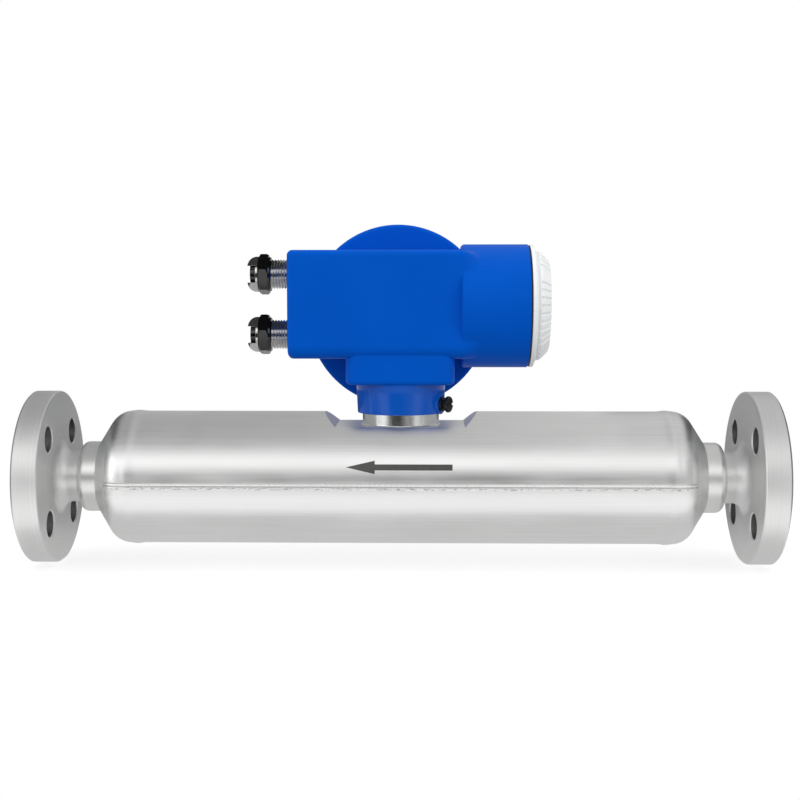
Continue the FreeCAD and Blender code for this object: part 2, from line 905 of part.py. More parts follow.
def display_screws():
    """The three long screws through frame, boards and pillars."""
    seat = frame_y + frame_t
    screws = []
    for x, z in ring_places():
        shank = rod(screw_d / 2, power_board_y - screw_reach, seat, "y", (x, 0, z))
        head = turned([
            (seat, 0, 0),
            (seat, screw_head_d / 2, 0),
            (seat + screw_head_t, screw_head_d / 2, screw_head_t / 2),
            (seat + screw_head_t, 0, 0),
        ], "y", (x, 0, z))
        half = slot_w / 2
        slot = block(x - screw_head_d, x + screw_head_d, seat + screw_head_t - slot_depth,
                     seat + screw_head_t + over, z - half, z + half)
        screws.append(fused([shank, head]).cut(slot))
    return Part.makeCompound(screws)


def flat_ring(inner_r, outer_r, start, axis, centre):
    """A flat sealing ring with soft outer edges."""
    return turned([
        (start, inner_r, 0),
        (start, outer_r, seal_edge),
        (start + seal_t, outer_r, seal_edge),
        (start + seal_t, inner_r, 0),
    ], axis, centre)


def display_cover():
    """The screwed cover round the window: skirt, band, groove and a tapered rim."""
    start = display_face_y
    groove_y = start + display_band_t
    rim_y = groove_y + display_groove_w
    retainer_y = window_y - retainer_t
    skirt_bore = display_skirt_r - display_skirt_t
    body = turned([
        (start - display_skirt_l, skirt_bore, 0),
        (start - display_skirt_l, display_skirt_r, barrel_rim_round),
        (start, display_skirt_r, 0),
        (start, drum_r, barrel_rim_round),
        (groove_y, drum_r, barrel_rim_round),
        (groove_y, drum_r - display_groove_depth, 0),
        (rim_y, drum_r - display_groove_depth, 0),
        (rim_y, display_rim_d / 2, display_rim_round),
        (display_nose_y, display_nose_d / 2, display_nose_round),
        (display_nose_y, window_view_d / 2, 0),
        (display_nose_y - window_lip, window_view_d / 2, 0),
        (display_nose_y - window_lip, window_d / 2 + weld_gap, 0),
        (retainer_y, window_d / 2 + weld_gap, 0),
        (retainer_y, skirt_bore, 0),
    ], "y", drum_centre)
    for k in range(grip_count):
        angle = 360.0 * k / grip_count
        notch = rod(grip_d / 2, rim_y - weld_gap, display_nose_y + over, "y", (drum_r + grip_out, 0, 0))
        notch.rotate(at(0, 0, 0), at(0, 1, 0), angle)
        notch.translate(at(drum_x, 0, drum_z))
        body = body.cut(notch)
    return body


def window_glass():
    """The thick glass behind the cover's lip."""
    return rod(window_d / 2, window_y, window_y + window_t, "y", drum_centre)


def window_retainer():
    """The ring that presses the glass against the lip."""
    return turned([
        (window_y - retainer_t, window_view_d / 2, 0),
        (window_y - retainer_t, window_d / 2, 0),
        (window_y, window_d / 2, 0),
        (window_y, window_view_d / 2, 0),
    ], "y", drum_centre)


# Terminal side


def terminal_carrier():
    """The plate across the barrel that the terminal block stands on, notched for the cables."""
    end = barrel_seat_x + carrier_t
    plate = rod(barrel_bore_r - fit_gap, barrel_seat_x, end, "x", barrel_centre)
    for side in (-1, 1):
        y = side * barrel_seat_r
        plate = plate.cut(rod(carrier_notch_r, barrel_seat_x - over, end + over, "x", (0, y, barrel_z)))
    return plate


def terminal_places():
    """Heights of the terminals along the block."""
    for k in range(terminal_count):
        yield barrel_z + (k - (terminal_count - 1) / 2) * terminal_pitch


def terminal_block():
    """The stepped block with a screw well and a wire hole for each terminal."""
    top = block_x + block_h
    low_top = top - block_step
    half_w = block_w / 2
    half_l = block_l / 2
    body = fused([
        block(block_x, low_top, -half_w, half_w, barrel_z - half_l, barrel_z + half_l),
        block(block_x, top, -half_w, 0, barrel_z - half_l, barrel_z + half_l),
    ])
    for z in terminal_places():
        well = rod(terminal_d / 2 + weld_gap, top - terminal_depth, top + over, "x", (0, -half_w / 2, z))
        hole = rod(wire_hole_d / 2, low_top - block_step, low_top + over, "x", (0, half_w / 2, z))
        body = body.cut(well).cut(hole)
    return body


def slotted_head(radius, start, end, y, z):
    """A cylinder head along X with a straight slot."""
    head = rod(radius, start, end, "x", (0, y, z))
    half = slot_w / 2
    slot = block(end - slot_depth, end + over, y - half, y + half, z - 2 * radius, z + 2 * radius)
    return head.cut(slot)


def terminal_screws():
    """The terminals' clamp screws in their wells."""
    seat = block_x + block_h - terminal_depth
    end = block_x + block_h - weld_gap
    y = -block_w / 4
    return Part.makeCompound([slotted_head(terminal_d / 2, seat, end, y, z) for z in terminal_places()])


def ground_screw():
    """The protective earth screw on the carrier."""
    end = block_x + ground_screw_t
    return slotted_head(ground_screw_d / 2, block_x, end, ground_y, barrel_z - ground_drop)


def terminal_cover():
    """The screwed cover of the terminals: skirt, band, groove and a fluted taper."""
    skirt_bore = cover_skirt_r - cover_skirt_t
    body = turned([
        (cover_face_x - cover_skirt_l, skirt_bore, 0),
        (cover_face_x - cover_skirt_l, cover_skirt_r, barrel_rim_round),
        (cover_face_x, cover_skirt_r, 0),
        (cover_face_x, cover_band_r, barrel_rim_round),
        (cover_groove_x, cover_band_r, barrel_rim_round),
        (cover_groove_x, cover_groove_r, 0),
        (cover_dome_x, cover_groove_r, 0),
        (cover_dome_x, cover_dome_r, cover_dome_round),
        (cover_nose_x, cover_nose_r, cover_nose_round),
        (cover_nose_x, 0, 0),
        (cover_nose_x - cover_wall, 0, 0),
        (cover_nose_x - cover_wall, cover_nose_r - cover_wall, 0),
        (cover_groove_x, skirt_bore, 0),
    ], "x", barrel_centre)
    return body.cut(cover_flutes())


def cover_flutes():
    """The grip grooves down the cover's taper, in groups with a plain pad between them."""
    half = flute_w / 2
    slope = cover_dome_fall / cover_dome_l
    start = cover_dome_x + flute_w
    end = cover_nose_x + over
    low_start = cover_dome_r - flute_depth - slope * flute_w
    low_end = cover_dome_r - flute_depth - slope * (cover_dome_l + over)
    top = cover_band_r + over
    corners = [
        at(start, -half, low_start),
        at(end, -half, low_end),
        at(end, -half, top),
        at(start, -half, top),
    ]
    flute = Part.Face(rounded_wire(corners, [0] * 4)).extrude(at(0, flute_w, 0))
    copies = []
    for group in range(flute_groups):
        for k in range(flutes_per_group):
            angle = flute_phase + group * 360.0 / flute_groups + (k - (flutes_per_group - 1) / 2) * flute_step
            copy = flute.copy()
            copy.rotate(at(0, 0, 0), at(1, 0, 0), 90.0 + angle)
            copy.translate(at(*barrel_centre))
            copies.append(copy)
    return Part.makeCompound(copies)


# Cable glands


def gland_body(z):
    """Threaded shank, collar, hexagon and spigot of a cable gland, bored through."""
    shank_end = -box_left - gland_shank_out
    collar_end = shank_end - gland_collar_t
    centre = (0, 0, z)
    shank = rod(gland_thread_d / 2, shank_end, gland_shank_in - box_left, "x", centre)
    collar = turned([
        (shank_end, 0, 0),
        (shank_end, gland_collar_d / 2, barrel_rim_round),
        (collar_end, gland_collar_d / 2, 0),
        (collar_end, 0, 0),
    ], "x", centre)
    hexagonal = hexagon(gland_hex, -gland_spigot_x, collar_end, "x", centre, gland_hex_turn)
    corner_r = gland_hex / math.sqrt(3)
    dressed = turned([
        (collar_end, 0, 0),
        (collar_end, corner_r, gland_hex_chamfer),
        (-gland_spigot_x, corner_r, gland_hex_chamfer),
        (-gland_spigot_x, 0, 0),
    ], "x", centre)
    spigot_end = -gland_spigot_x - gland_spigot_l
    spigot = rod(gland_spigot_d / 2, spigot_end, -gland_spigot_x, "x", centre)
    body = fused([shank, collar, hexagonal.common(dressed), spigot])
    seat = gland_insert_proud + spigot_end + gland_insert_l
    body = body.cut(rod(gland_insert_d / 2 + fit_gap, spigot_end - over, seat, "x", centre))
    return body.cut(rod(gland_bore_d / 2, seat - over, gland_shank_in - box_left + over, "x", centre))


def gland_insert(z):
    """The rubber insert that the nut presses round the cable."""
    start = -gland_insert_end_x
    end = start + gland_insert_l - face_gap
    bore_r = gland_bore_d / 2
    return turned([
        (start, bore_r, 0),
        (start, gland_insert_d / 2, seal_edge),
        (end, gland_insert_d / 2, seal_edge),
        (end, bore_r, 0),
    ], "x", (0, 0, z))


def gland_nut(z):
    """The domed nut, slotted across its end."""
    start = -gland_nut_x
    end = start - gland_nut_l
    lip = end + gland_nut_lip
    bore_r = gland_spigot_d / 2 + fit_gap
    centre = (0, 0, z)
    body = turned([
        (start, bore_r, 0),
        (start, gland_nut_d / 2, barrel_rim_round),
        (end, gland_nut_d / 2, gland_nut_round),
        (end, gland_nut_mouth_d / 2, 0),
        (lip, gland_nut_mouth_d / 2, 0),
        (lip, bore_r, 0),
    ], "x", centre)
    half = gland_notch_w / 2
    return body.cut(block(end - over, end + gland_notch_depth, -gland_nut_d, gland_nut_d, z - half, z + half))


# Lock screw


def lock_screw():
    """The black screw that clamps the head: shank, waist and a slotted head."""
    waist_r = lock_seat_r + face_gap + lock_washer_t
    head_r = waist_r + lock_waist_l
    end_r = head_r + lock_head_l
    tip_r = neck_r - screw_groove_depth + face_gap
    body = turned([
        (tip_r, 0, 0),
        (tip_r, lock_d / 2, lock_tip_round),
        (waist_r, lock_d / 2, 0),
        (waist_r, lock_waist_d / 2, 0),
        (head_r, lock_waist_d / 2, 0),
        (head_r, lock_head_d / 2, lock_head_round),
        (end_r, lock_head_d / 2, lock_head_round),
        (end_r, 0, 0),
    ])
    half = lock_slot_w / 2
    slot = block(end_r - lock_slot_depth, end_r + over, -lock_head_d, lock_head_d, -half, half)
    return on_lock_axis(body.cut(slot))


def lock_washer():
    """The washer under the lock screw."""
    start = lock_seat_r + face_gap
    return on_lock_axis(turned([
        (start, lock_d / 2 + weld_gap, 0),
        (start, lock_washer_d / 2, seal_edge),
        (start + lock_washer_t - face_gap, lock_washer_d / 2, seal_edge),
        (start + lock_washer_t - face_gap, lock_d / 2 + weld_gap, 0),
    ]))


def all_nodes():
    """Every piece of the meter under its own name, still about the meter's middle."""
    shell = casing_shell()
    inlet = flange()
    split = splitter()
    cone = end_cone()
    braces = brace_plates()
    upper_z, lower_z = gland_levels()
    back_arms = [on_tubes(clamp_arm(1), x) for x in (pickoff_x, 0, -pickoff_x)]
    front_arms = [on_tubes(clamp_arm(-1), x) for x in (pickoff_x, 0, -pickoff_x)]
    return {
        "inlet_flange": inlet,
        "outlet_flange": mirrored(inlet),
        "inlet_splitter": split,
        "outlet_splitter": mirrored(split),
        "upper_shell": shell.common(half_space(True)),
        "lower_shell": shell.common(half_space(False)),
        "front_seam_weld": seam_weld(-1),
        "back_seam_weld": seam_weld(1),
        "inlet_end_cone": cone,
        "outlet_end_cone": mirrored(cone),
        "front_tube": measuring_tube(-1),
        "back_tube": measuring_tube(1),
        "inlet_brace_plates": braces,
        "outlet_brace_plates": mirrored(braces),
        "front_arms": Part.makeCompound(front_arms),
        "back_arms": Part.makeCompound(back_arms),
        "drive_coil": on_tubes(coil(), 0),
        "drive_magnet": on_tubes(magnet(), 0),
        "inlet_pickoff_coil": on_tubes(coil(), pickoff_x),
        "inlet_pickoff_magnet": on_tubes(magnet(), pickoff_x),
        "outlet_pickoff_coil": on_tubes(coil(), -pickoff_x),
        "outlet_pickoff_magnet": on_tubes(magnet(), -pickoff_x),
        "temperature_probe": temperature_probe(),
        "neck": neck(),
        "neck_seal": neck_seal(),
        "neck_feedthrough": neck_feedthrough(),
        "transmitter_housing": housing(),
        "wall_plug": wall_plug(),
        "power_board": board(power_board_y),
        "main_board": board(main_board_y),
        "board_pillars": pillars(drum_floor_y, power_board_y),
        "board_spacers": pillars(power_board_y + board_t, main_board_y),
        "display_panel": display_panel(),
        "display_frame": display_frame(),
        "touch_windows": touch_windows(),
        "display_screws": display_screws(),
        "display_cover": display_cover(),
        "display_cover_seal": flat_ring(display_skirt_r + fit_gap, drum_r - seal_inset,
                                        drum_front_y + face_gap, "y", drum_centre),
        "window_glass": window_glass(),
        "window_retainer": window_retainer(),
        "terminal_carrier": terminal_carrier(),
        "terminal_block": terminal_block(),
        "terminal_screws": terminal_screws(),
        "ground_screw": ground_screw(),
        "terminal_cover": terminal_cover(),
        "terminal_cover_seal": flat_ring(cover_skirt_r + fit_gap, cover_band_r - seal_inset,
                                         barrel_end + face_gap, "x", barrel_centre),
        "upper_gland_body": gland_body(upper_z),
        "upper_gland_insert": gland_insert(upper_z),
        "upper_gland_nut": gland_nut(upper_z),
        "lower_gland_body": gland_body(lower_z),
        "lower_gland_insert": gland_insert(lower_z),
        "lower_gland_nut": gland_nut(lower_z),
        "lock_screw": lock_screw(),
        "lock_washer": lock_washer(),
    }


os.makedirs("parts", exist_ok=True)
for name, shape in all_nodes().items():
    placed = shape.copy()
    placed.translate(at(-half_l, 0, 0))
    placed.exportStep("parts/" + name + ".step")
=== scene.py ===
import bmesh
import bpy
import json
import math
from mathutils import Matrix, Vector, noise

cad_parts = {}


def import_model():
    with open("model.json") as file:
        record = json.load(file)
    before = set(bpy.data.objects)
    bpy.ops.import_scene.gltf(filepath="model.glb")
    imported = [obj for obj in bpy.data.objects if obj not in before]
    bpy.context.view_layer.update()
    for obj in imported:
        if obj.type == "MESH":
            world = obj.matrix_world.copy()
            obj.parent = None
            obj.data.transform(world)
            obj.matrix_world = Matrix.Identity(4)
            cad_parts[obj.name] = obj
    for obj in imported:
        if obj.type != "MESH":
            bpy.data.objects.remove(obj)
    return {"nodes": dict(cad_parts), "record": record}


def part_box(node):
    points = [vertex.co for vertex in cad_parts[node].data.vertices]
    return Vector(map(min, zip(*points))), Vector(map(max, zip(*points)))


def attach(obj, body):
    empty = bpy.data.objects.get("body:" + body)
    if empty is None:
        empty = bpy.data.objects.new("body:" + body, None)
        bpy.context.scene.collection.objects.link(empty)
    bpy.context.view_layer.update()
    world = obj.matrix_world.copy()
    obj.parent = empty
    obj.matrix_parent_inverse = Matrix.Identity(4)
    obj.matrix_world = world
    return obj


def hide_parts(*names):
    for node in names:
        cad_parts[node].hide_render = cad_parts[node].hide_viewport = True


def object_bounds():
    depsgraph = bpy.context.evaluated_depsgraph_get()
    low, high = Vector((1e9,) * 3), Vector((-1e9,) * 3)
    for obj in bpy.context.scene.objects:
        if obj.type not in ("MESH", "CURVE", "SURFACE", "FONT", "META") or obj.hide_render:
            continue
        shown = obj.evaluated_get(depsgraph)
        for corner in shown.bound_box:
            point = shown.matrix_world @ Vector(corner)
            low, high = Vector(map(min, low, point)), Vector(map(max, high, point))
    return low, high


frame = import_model()
cad_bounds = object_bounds()

# Lengths are in millimetres until mesh_object and the camera turn them into metres. Every x is counted from
# the meter's middle, where the neck stands, so one place serves both ends.
MM = 0.001
MIDDLE_X = (cad_bounds[0].x + cad_bounds[1].x) / 2 / MM


def size_of(node):
    """A node's box in millimetres about the meter's middle, as two lists."""
    low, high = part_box(node)
    shift = (MIDDLE_X, 0, 0)
    return [[value / MM - shift[i] for i, value in enumerate(corner)] for corner in (low, high)]


# Sizes read from the frame
FLANGE_LOW, FLANGE_HIGH = size_of("inlet_flange")
HALF_L = FLANGE_HIGH[0]
COLLAR_FACE_X = FLANGE_LOW[0]
SPLITTER_LOW, SPLITTER_HIGH = size_of("inlet_splitter")
CONE_LOW, CONE_HIGH = size_of("inlet_end_cone")
SPLIT_X = CONE_LOW[0]
CONE_END_X = CONE_HIGH[0]
CASING_R = -size_of("lower_shell")[0][2]
COLLAR_R = SPLITTER_HIGH[2]
FLAT_Z = size_of("neck")[0][2]
HOUSING_LOW, HOUSING_HIGH = size_of("transmitter_housing")
BOX_LEFT = HOUSING_LOW[0]
BARREL_END = HOUSING_HIGH[0]
DRUM_FRONT_Y = HOUSING_HIGH[1]
BARREL_R = -HOUSING_LOW[1]
COVER_LOW, COVER_HIGH = size_of("terminal_cover")
DISPLAY_LOW, DISPLAY_HIGH = size_of("display_cover")
DRUM_X = (DISPLAY_LOW[0] + DISPLAY_HIGH[0]) / 2
DRUM_Z = (DISPLAY_LOW[2] + DISPLAY_HIGH[2]) / 2
DRUM_R = (DISPLAY_HIGH[0] - DISPLAY_LOW[0]) / 2
BARREL_Z = (COVER_LOW[2] + COVER_HIGH[2]) / 2
COVER_R = (COVER_HIGH[2] - COVER_LOW[2]) / 2

# How finely forms are divided: steps of a quarter turn and of whole turns, the distance of the points that
# hold a corner, the least rounding, and the radius that counts as the axis
ARC_STEPS = 10
FINE_STEPS = 224
BARREL_STEPS = 192
TURN_STEPS = 160
NUT_STEPS = 128
SMALL_STEPS = 96
HOLE_STEPS = 64
BORE_STEPS = 48
SUPPORT = 0.12
LEAST_ROUND = 0.02
ON_AXIS = 1e-9

# How far a cutting tool reaches past what it cuts, and one form into the next
PAST = 1.0
OVERLAP = 0.01

# Sizes of the visible forms, as in the part's source
RIM_T = 14.0
RAISED_T = 2.0
RAISED_R = 22.5
RIM_EDGE = 1.0
BOLT_CIRCLE_R = 32.5
BOLT_HOLE_R = 7.0
BOLT_COUNT = 4
HOLE_EDGE = 0.6
PIPE_BORE_R = 8.65
HUB_R = 14.0
HUB_FILLET = 7.0
COLLAR_ROUND = 4.0
SOCKET_DEPTH = 10.0
CHAMBER_DEPTH = 4.5
CHAMBER_STEP = 0.5
TUBE_R = 6.0
TUBE_WALL = 1.0
TUBE_Y = 11.0
CASING_WALL = 2.5
CONE_ANGLE = math.radians(57.0)
CONE_SLOPE = math.tan(CONE_ANGLE)
CONE_WALL = 3.0
SHOULDER_ROUND = 11.0
FLAT_HALF_L = 35.0
NECK_R = 21.0
NECK_WALL = 3.0
LOCK_Z = 41.4
GROOVE_W = 6.6
GROOVE_DEPTH = 1.0
NECK_SEAL_Z = 51.5
NECK_SEAL_W = 3.0
NECK_SEAL_DEPTH = 2.0
NECK_TOP_Z = 60.0
BOX_HALF_D = 28.0
BOX_BOTTOM_Z = 66.5
BOX_TOP_Z = 124.2
BOX_ROUND = 3.0
BOX_LOW_ROUND = 7.0
WALL = 4.0
ROOM_ROUND = 3.0
DRUM_BACK_Y = 24.0
DRUM_ROUND = 2.0
BARREL_START = 32.5
BARREL_ROUND = 2.2
BLEND_L = 12.0
BLEND_SUNK = 0.1
PAD_HALF_W = 29.2
PAD_HALF_D = 26.0
PAD_BOTTOM_Z = 52.5
PAD_ROUND = 7.0
PAD_LOW_ROUND = 2.5
SOCKET_TOP_R = 24.5
SOCKET_BOTTOM_R = 23.75
HOUSING_SOCKET_Z = 36.2
RIM_ROUND = 0.4
CABLE_WAY_R = 12.0
PLUG_R = 7.0
PLUG_Z = 86.0
BARREL_BORE_R = 30.0
BARREL_SEAT_R = 28.0
BARREL_SEAT_X = 52.0
LOCK_ANGLE = 25.0
LOCK_BOSS_R = 5.5
LOCK_BOSS_PROUD = 0.8
LOCK_HOLE_R = 3.2
COVER_BAND_T = 2.2
COVER_GROOVE_W = 1.1
COVER_GROOVE_DEPTH = 2.8
COVER_DOME_L = 7.0
COVER_DOME_STEP = 1.5
COVER_DOME_FALL = 6.8
COVER_DOME_ROUND = 1.6
COVER_NOSE_ROUND = 2.0
COVER_SKIRT_L = 9.0
COVER_SKIRT_T = 3.0
COVER_WALL = 3.2
FLUTE_GROUPS = 4
FLUTES_PER_GROUP = 9
FLUTE_STEP = 8.4
FLUTE_PHASE = 8.5
FLUTE_W = 1.4
FLUTE_DEPTH = 1.3
DISPLAY_BAND_T = 2.6
DISPLAY_GROOVE_W = 1.2
DISPLAY_GROOVE_DEPTH = 2.2
DISPLAY_RIM_R = 50.7
DISPLAY_DOME_L = 9.0
DISPLAY_NOSE_R = 40.0
DISPLAY_SKIRT_L = 9.0
DISPLAY_SKIRT_T = 4.0
GRIP_COUNT = 12
GRIP_R = 4.5
GRIP_OUT = 1.6
WINDOW_R = 36.0
WINDOW_VIEW_R = 32.0
WINDOW_T = 6.0
WINDOW_LIP = 2.2
RETAINER_T = 2.6
GLAND_INSET = 12.4
THREAD_R = 8.0
THREAD_DEPTH = 0.75
THREAD_PITCH = 1.5
GLAND_SHANK_OUT = 11.15
GLAND_SHANK_IN = 7.15
GLAND_COLLAR_R = 9.3
GLAND_COLLAR_T = 1.4
GLAND_HEX = 20.0
GLAND_HEX_L = 4.8
GLAND_HEX_TURN = 47.5
GLAND_SPIGOT_R = 6.5
GLAND_SPIGOT_L = 4.8
GLAND_BORE_R = 3.5
NUT_GAP = 0.3
NUT_R = 9.65
NUT_L = 6.5
NUT_ROUND = 5.2
NUT_LIP = 1.3
NUT_MOUTH_R = 4.3
NOTCH_W = 9.2
NOTCH_DEPTH = 5.2
INSERT_R = 4.9
INSERT_L = 9.0
INSERT_PROUD = 0.3
LOCK_SHANK_R = 3.0
LOCK_WAIST_R = 2.3
LOCK_WAIST_L = 1.6
LOCK_HEAD_R = 4.45
LOCK_HEAD_L = 2.2
LOCK_HEAD_ROUND = 0.9
LOCK_SLOT_W = 1.2
LOCK_SLOT_DEPTH = 1.0
LOCK_WASHER_R = 4.0
LOCK_WASHER_T = 1.4
SEAL_T = 0.8
FACE_GAP = 0.05
FIT_GAP = 0.2
WELD_GAP = 0.04

# Sizes that only this script has: the casing's swelling, its weld, the neck's foot, the arrow and small edges
SWELL = 0.5
SWELL_X = 145.2
SWELL_W = 3.0
SPLIT_ROUND = 0.08
SEAM_ABOVE = 1.5
SEAM_BELOW = 2.2
SEAM_PROUD = 0.95
SEAM_LEAST = 0.02
SEAM_ROOT = 1.2
SEAM_EDGE_SUNK = 0.15
SEAM_END_GAP = 0.3
SEAM_TAPER_L = 2.5
SEAM_STEP = 0.4
SEAM_ROWS = 44
RIDGE_Z = 0.62
RIDGE_HALF_W = 0.80
BEAD_Z = -1.35
BEAD_PROUD = 0.50
BEAD_HALF_W = 0.42
SEAM_GROOVE_Z = -0.45
SPECKS_Z = -1.7
NECK_FOOT = 0.6
FOOT_EDGE = 0.05
SOCKET_IN_PAD = 0.4
LOCK_HOLE_START_R = 15.0
FLUTE_SOFT = 0.3
FLUTE_RUN_OUT = 0.9
COVER_COLUMNS = 960
COVER_STEP = 0.6
THREAD_STEP = 0.151
ARROW_TIP_X = -28.4
ARROW_HEAD_X = -13.1
ARROW_TAIL_X = 27.9
ARROW_Z = 9.95
ARROW_HEAD_HALF = 3.45
ARROW_SHAFT_HALF = 1.55
ARROW_PROUD = 0.03
ARROW_SUNK = 0.2

# Places worked out from the sizes
RIM_R = FLANGE_HIGH[2]
NECK_BORE_R = NECK_R - NECK_WALL
SOCKET_BORE_R = NECK_R + FIT_GAP
LOCK_SEAT_R = SOCKET_BOTTOM_R + LOCK_BOSS_PROUD
PLUG_HOLE_R = PLUG_R + WELD_GAP
COVER_FACE_X = BARREL_END + SEAL_T + 2 * FACE_GAP
GLAND_LEVELS = {"upper": BOX_TOP_Z - GLAND_INSET, "lower": BOX_BOTTOM_Z + GLAND_INSET}
GLAND_SHANK_END_X = BOX_LEFT - GLAND_SHANK_OUT
GLAND_SHANK_START_X = BOX_LEFT + GLAND_SHANK_IN
GLAND_SEAT_R = INSERT_R + FIT_GAP
NUT_BORE_R = GLAND_SPIGOT_R + FIT_GAP
SPLITTER_IN_X = SPLITTER_LOW[0]
SHOULDER_X = CONE_END_X + WELD_GAP - (CASING_R - COLLAR_R) / CONE_SLOPE
WINDOW_Y = DISPLAY_HIGH[1] - WINDOW_LIP - WINDOW_T
NUT_X = GLAND_SHANK_END_X - GLAND_COLLAR_T - GLAND_HEX_L
BOX_MIDDLE_Z = (BOX_BOTTOM_Z + BOX_TOP_Z) / 2
BOX_HALF_H = (BOX_TOP_Z - BOX_BOTTOM_Z) / 2
BOX_ROUNDS = (BOX_LOW_ROUND, BOX_ROUND, BOX_ROUND, BOX_ROUND)


# Mesh helpers


def placed(name, data):
    """A new object in the scene that holds the data."""
    made = bpy.data.objects.new(name, data)
    bpy.context.scene.collection.objects.link(made)
    return made


def mesh_object(name, verts, faces, sharp=32.0):
    """A new object from points in millimetres about the meter's middle, smooth but for its sharp edges."""
    mesh = bpy.data.meshes.new(name)
    mesh.from_pydata([((x + MIDDLE_X) * MM, y * MM, z * MM) for x, y, z in verts], [], faces)
    made = placed(name, mesh)
    tidy(made, sharp)
    return made


def tidy(made, sharp=32.0):
    """Welds loose corners, turns the faces outwards and marks the sharp edges."""
    work = bmesh.new()
    work.from_mesh(made.data)
    bmesh.ops.remove_doubles(work, verts=work.verts, dist=1e-7)
    bmesh.ops.dissolve_degenerate(work, edges=work.edges, dist=1e-7)
    bmesh.ops.recalc_face_normals(work, faces=work.faces)
    work.to_mesh(made.data)
    work.free()
    made.data.shade_smooth()
    made.data.set_sharp_from_angle(angle=math.radians(sharp))


def outline(corners, closed=True):
    """Points along straight runs joined by round corners, given as (u, v, rounding), with a point close to
    each run's ends so that flat faces shade flat."""
    spans = []
    count = len(corners)
    for i, (u, v, rounding) in enumerate(corners):
        here = Vector((u, v))
        at_end = not closed and i in (0, count - 1)
        if rounding <= 0 or at_end:
            spans.append([here])
            continue
        back = (Vector(corners[i - 1][:2]) - here).normalized()
        ahead = (Vector(corners[(i + 1) % count][:2]) - here).normalized()
        half = back.angle(ahead) / 2
        run = rounding / math.tan(half)
        centre = here + (back + ahead).normalized() * (rounding / math.sin(half))
        start = here + back * run - centre
        sweep = math.pi - 2 * half
        turn = 1 if back.x * ahead.y - back.y * ahead.x < 0 else -1
        steps = max(2, math.ceil(ARC_STEPS * sweep / (math.pi / 2)))
        arc = []
        for k in range(steps + 1):
            angle = turn * sweep * k / steps
            arc.append(centre + Vector((start.x * math.cos(angle) - start.y * math.sin(angle),
                                        start.x * math.sin(angle) + start.y * math.cos(angle))))
        spans.append(arc)
    points = []
    for i, span in enumerate(spans):
        points.extend(span)
        if i == count - 1 and not closed:
            break
        start = span[-1]
        end = spans[(i + 1) % count][0]
        length = (end - start).length
        if length > 3 * SUPPORT:
            step = (end - start) * (SUPPORT / length)
            points.append(start + step)
            points.append(end - step)
    return points


def to_axis(along, side, up, axis, centre):
    """A point counted along an axis through a centre, in the model's x, y and z."""
    turned = {"x": (along, side, up), "y": (up, along, side), "z": (side, up, along)}[axis]
    return [value + shift for value, shift in zip(turned, centre)]


def grid_faces(columns, rows, around=False, ring=False):
    """Faces between neighbouring columns of points. Around joins the last column to the first, and ring joins
    each column's last point to its first."""
    faces = []
    for i in range(columns if around else columns - 1):
        here = i * rows
        there = (i + 1) % columns * rows
        for j in range(rows if ring else rows - 1):
            after = (j + 1) % rows
            faces.append((here + j, there + j, there + after, here + after))
    return faces


def tube_faces(columns, rows):
    """Faces of a closed form made of rings of points, with a face over its first ring and its last."""
    last = (columns - 1) * rows
    return grid_faces(columns, rows, ring=True) + [tuple(range(rows)), tuple(range(last, last + rows))]


def lathe(name, profile, axis="x", centre=(0, 0, 0), steps=TURN_STEPS):
    """A turned piece from (along, radius, rounding) corners. A profile that starts and ends at radius 0 is
    closed by its axis; any other is a ring."""
    solid = profile[0][1] == 0 and profile[-1][1] == 0
    points = outline(profile, closed=not solid)
    rings = [p for p in points if p.y > ON_AXIS]
    verts = []
    for k in range(steps):
        angle = math.radians(360.0 * k / steps)
        for p in rings:
            verts.append(to_axis(p.x, p.y * math.cos(angle), p.y * math.sin(angle), axis, centre))
    rows = len(rings)
    faces = grid_faces(steps, rows, around=True, ring=not solid)
    if solid:
        for pole, j in ((points[0], 0), (points[-1], rows - 1)):
            verts.append(to_axis(pole.x, 0, 0, axis, centre))
            faces += [(len(verts) - 1, k * rows + j, (k + 1) % steps * rows + j) for k in range(steps)]
    return mesh_object(name, verts, faces)


def plug(name, start, end, radius, axis="x", centre=(0, 0, 0), steps=SMALL_STEPS, rounds=(0, 0)):
    """A cylinder, with a rounding for each of its ends."""
    return lathe(name, [(start, 0, 0), (start, radius, rounds[0]), (end, radius, rounds[1]), (end, 0, 0)],
                 axis, centre, steps)


def rounded_rect(half_u, half_v, radii, inset):
    """A rectangle's outline about its middle, moved in by inset, with its own radius at each corner."""
    u = half_u - inset
    v = half_v - inset
    corners = []
    for (side_u, side_v), radius in zip(((-1, -1), (1, -1), (1, 1), (-1, 1)), radii):
        corners.append((side_u * u, side_v * v, max(radius - inset, LEAST_ROUND)))
    return outline(corners)


def prism(name, half_u, half_v, radii, start, end, rounds, axis, centre):
    """A bar with a rounded rectangle as its section and a round at each of its two ends."""
    loops = []
    for edge, way, rounding in ((start, 1, rounds[0]), (end, -1, rounds[1])):
        run = [(edge, 0.0)]
        if rounding > 0:
            run = [(edge, rounding + 2 * SUPPORT)]
            for k in range(ARC_STEPS + 1):
                angle = math.pi / 2 * k / ARC_STEPS
                run.append((edge + way * rounding * (1 - math.cos(angle)), rounding * (1 - math.sin(angle))))
            run.append((edge + way * (rounding + SUPPORT), 0.0))
        loops.extend(run[::way])
    verts = []
    for along, inset in loops:
        section = rounded_rect(half_u, half_v, radii, inset)
        verts.extend(to_axis(along, p.x, p.y, axis, centre) for p in section)
    return mesh_object(name, verts, tube_faces(len(loops), len(verts) // len(loops)))


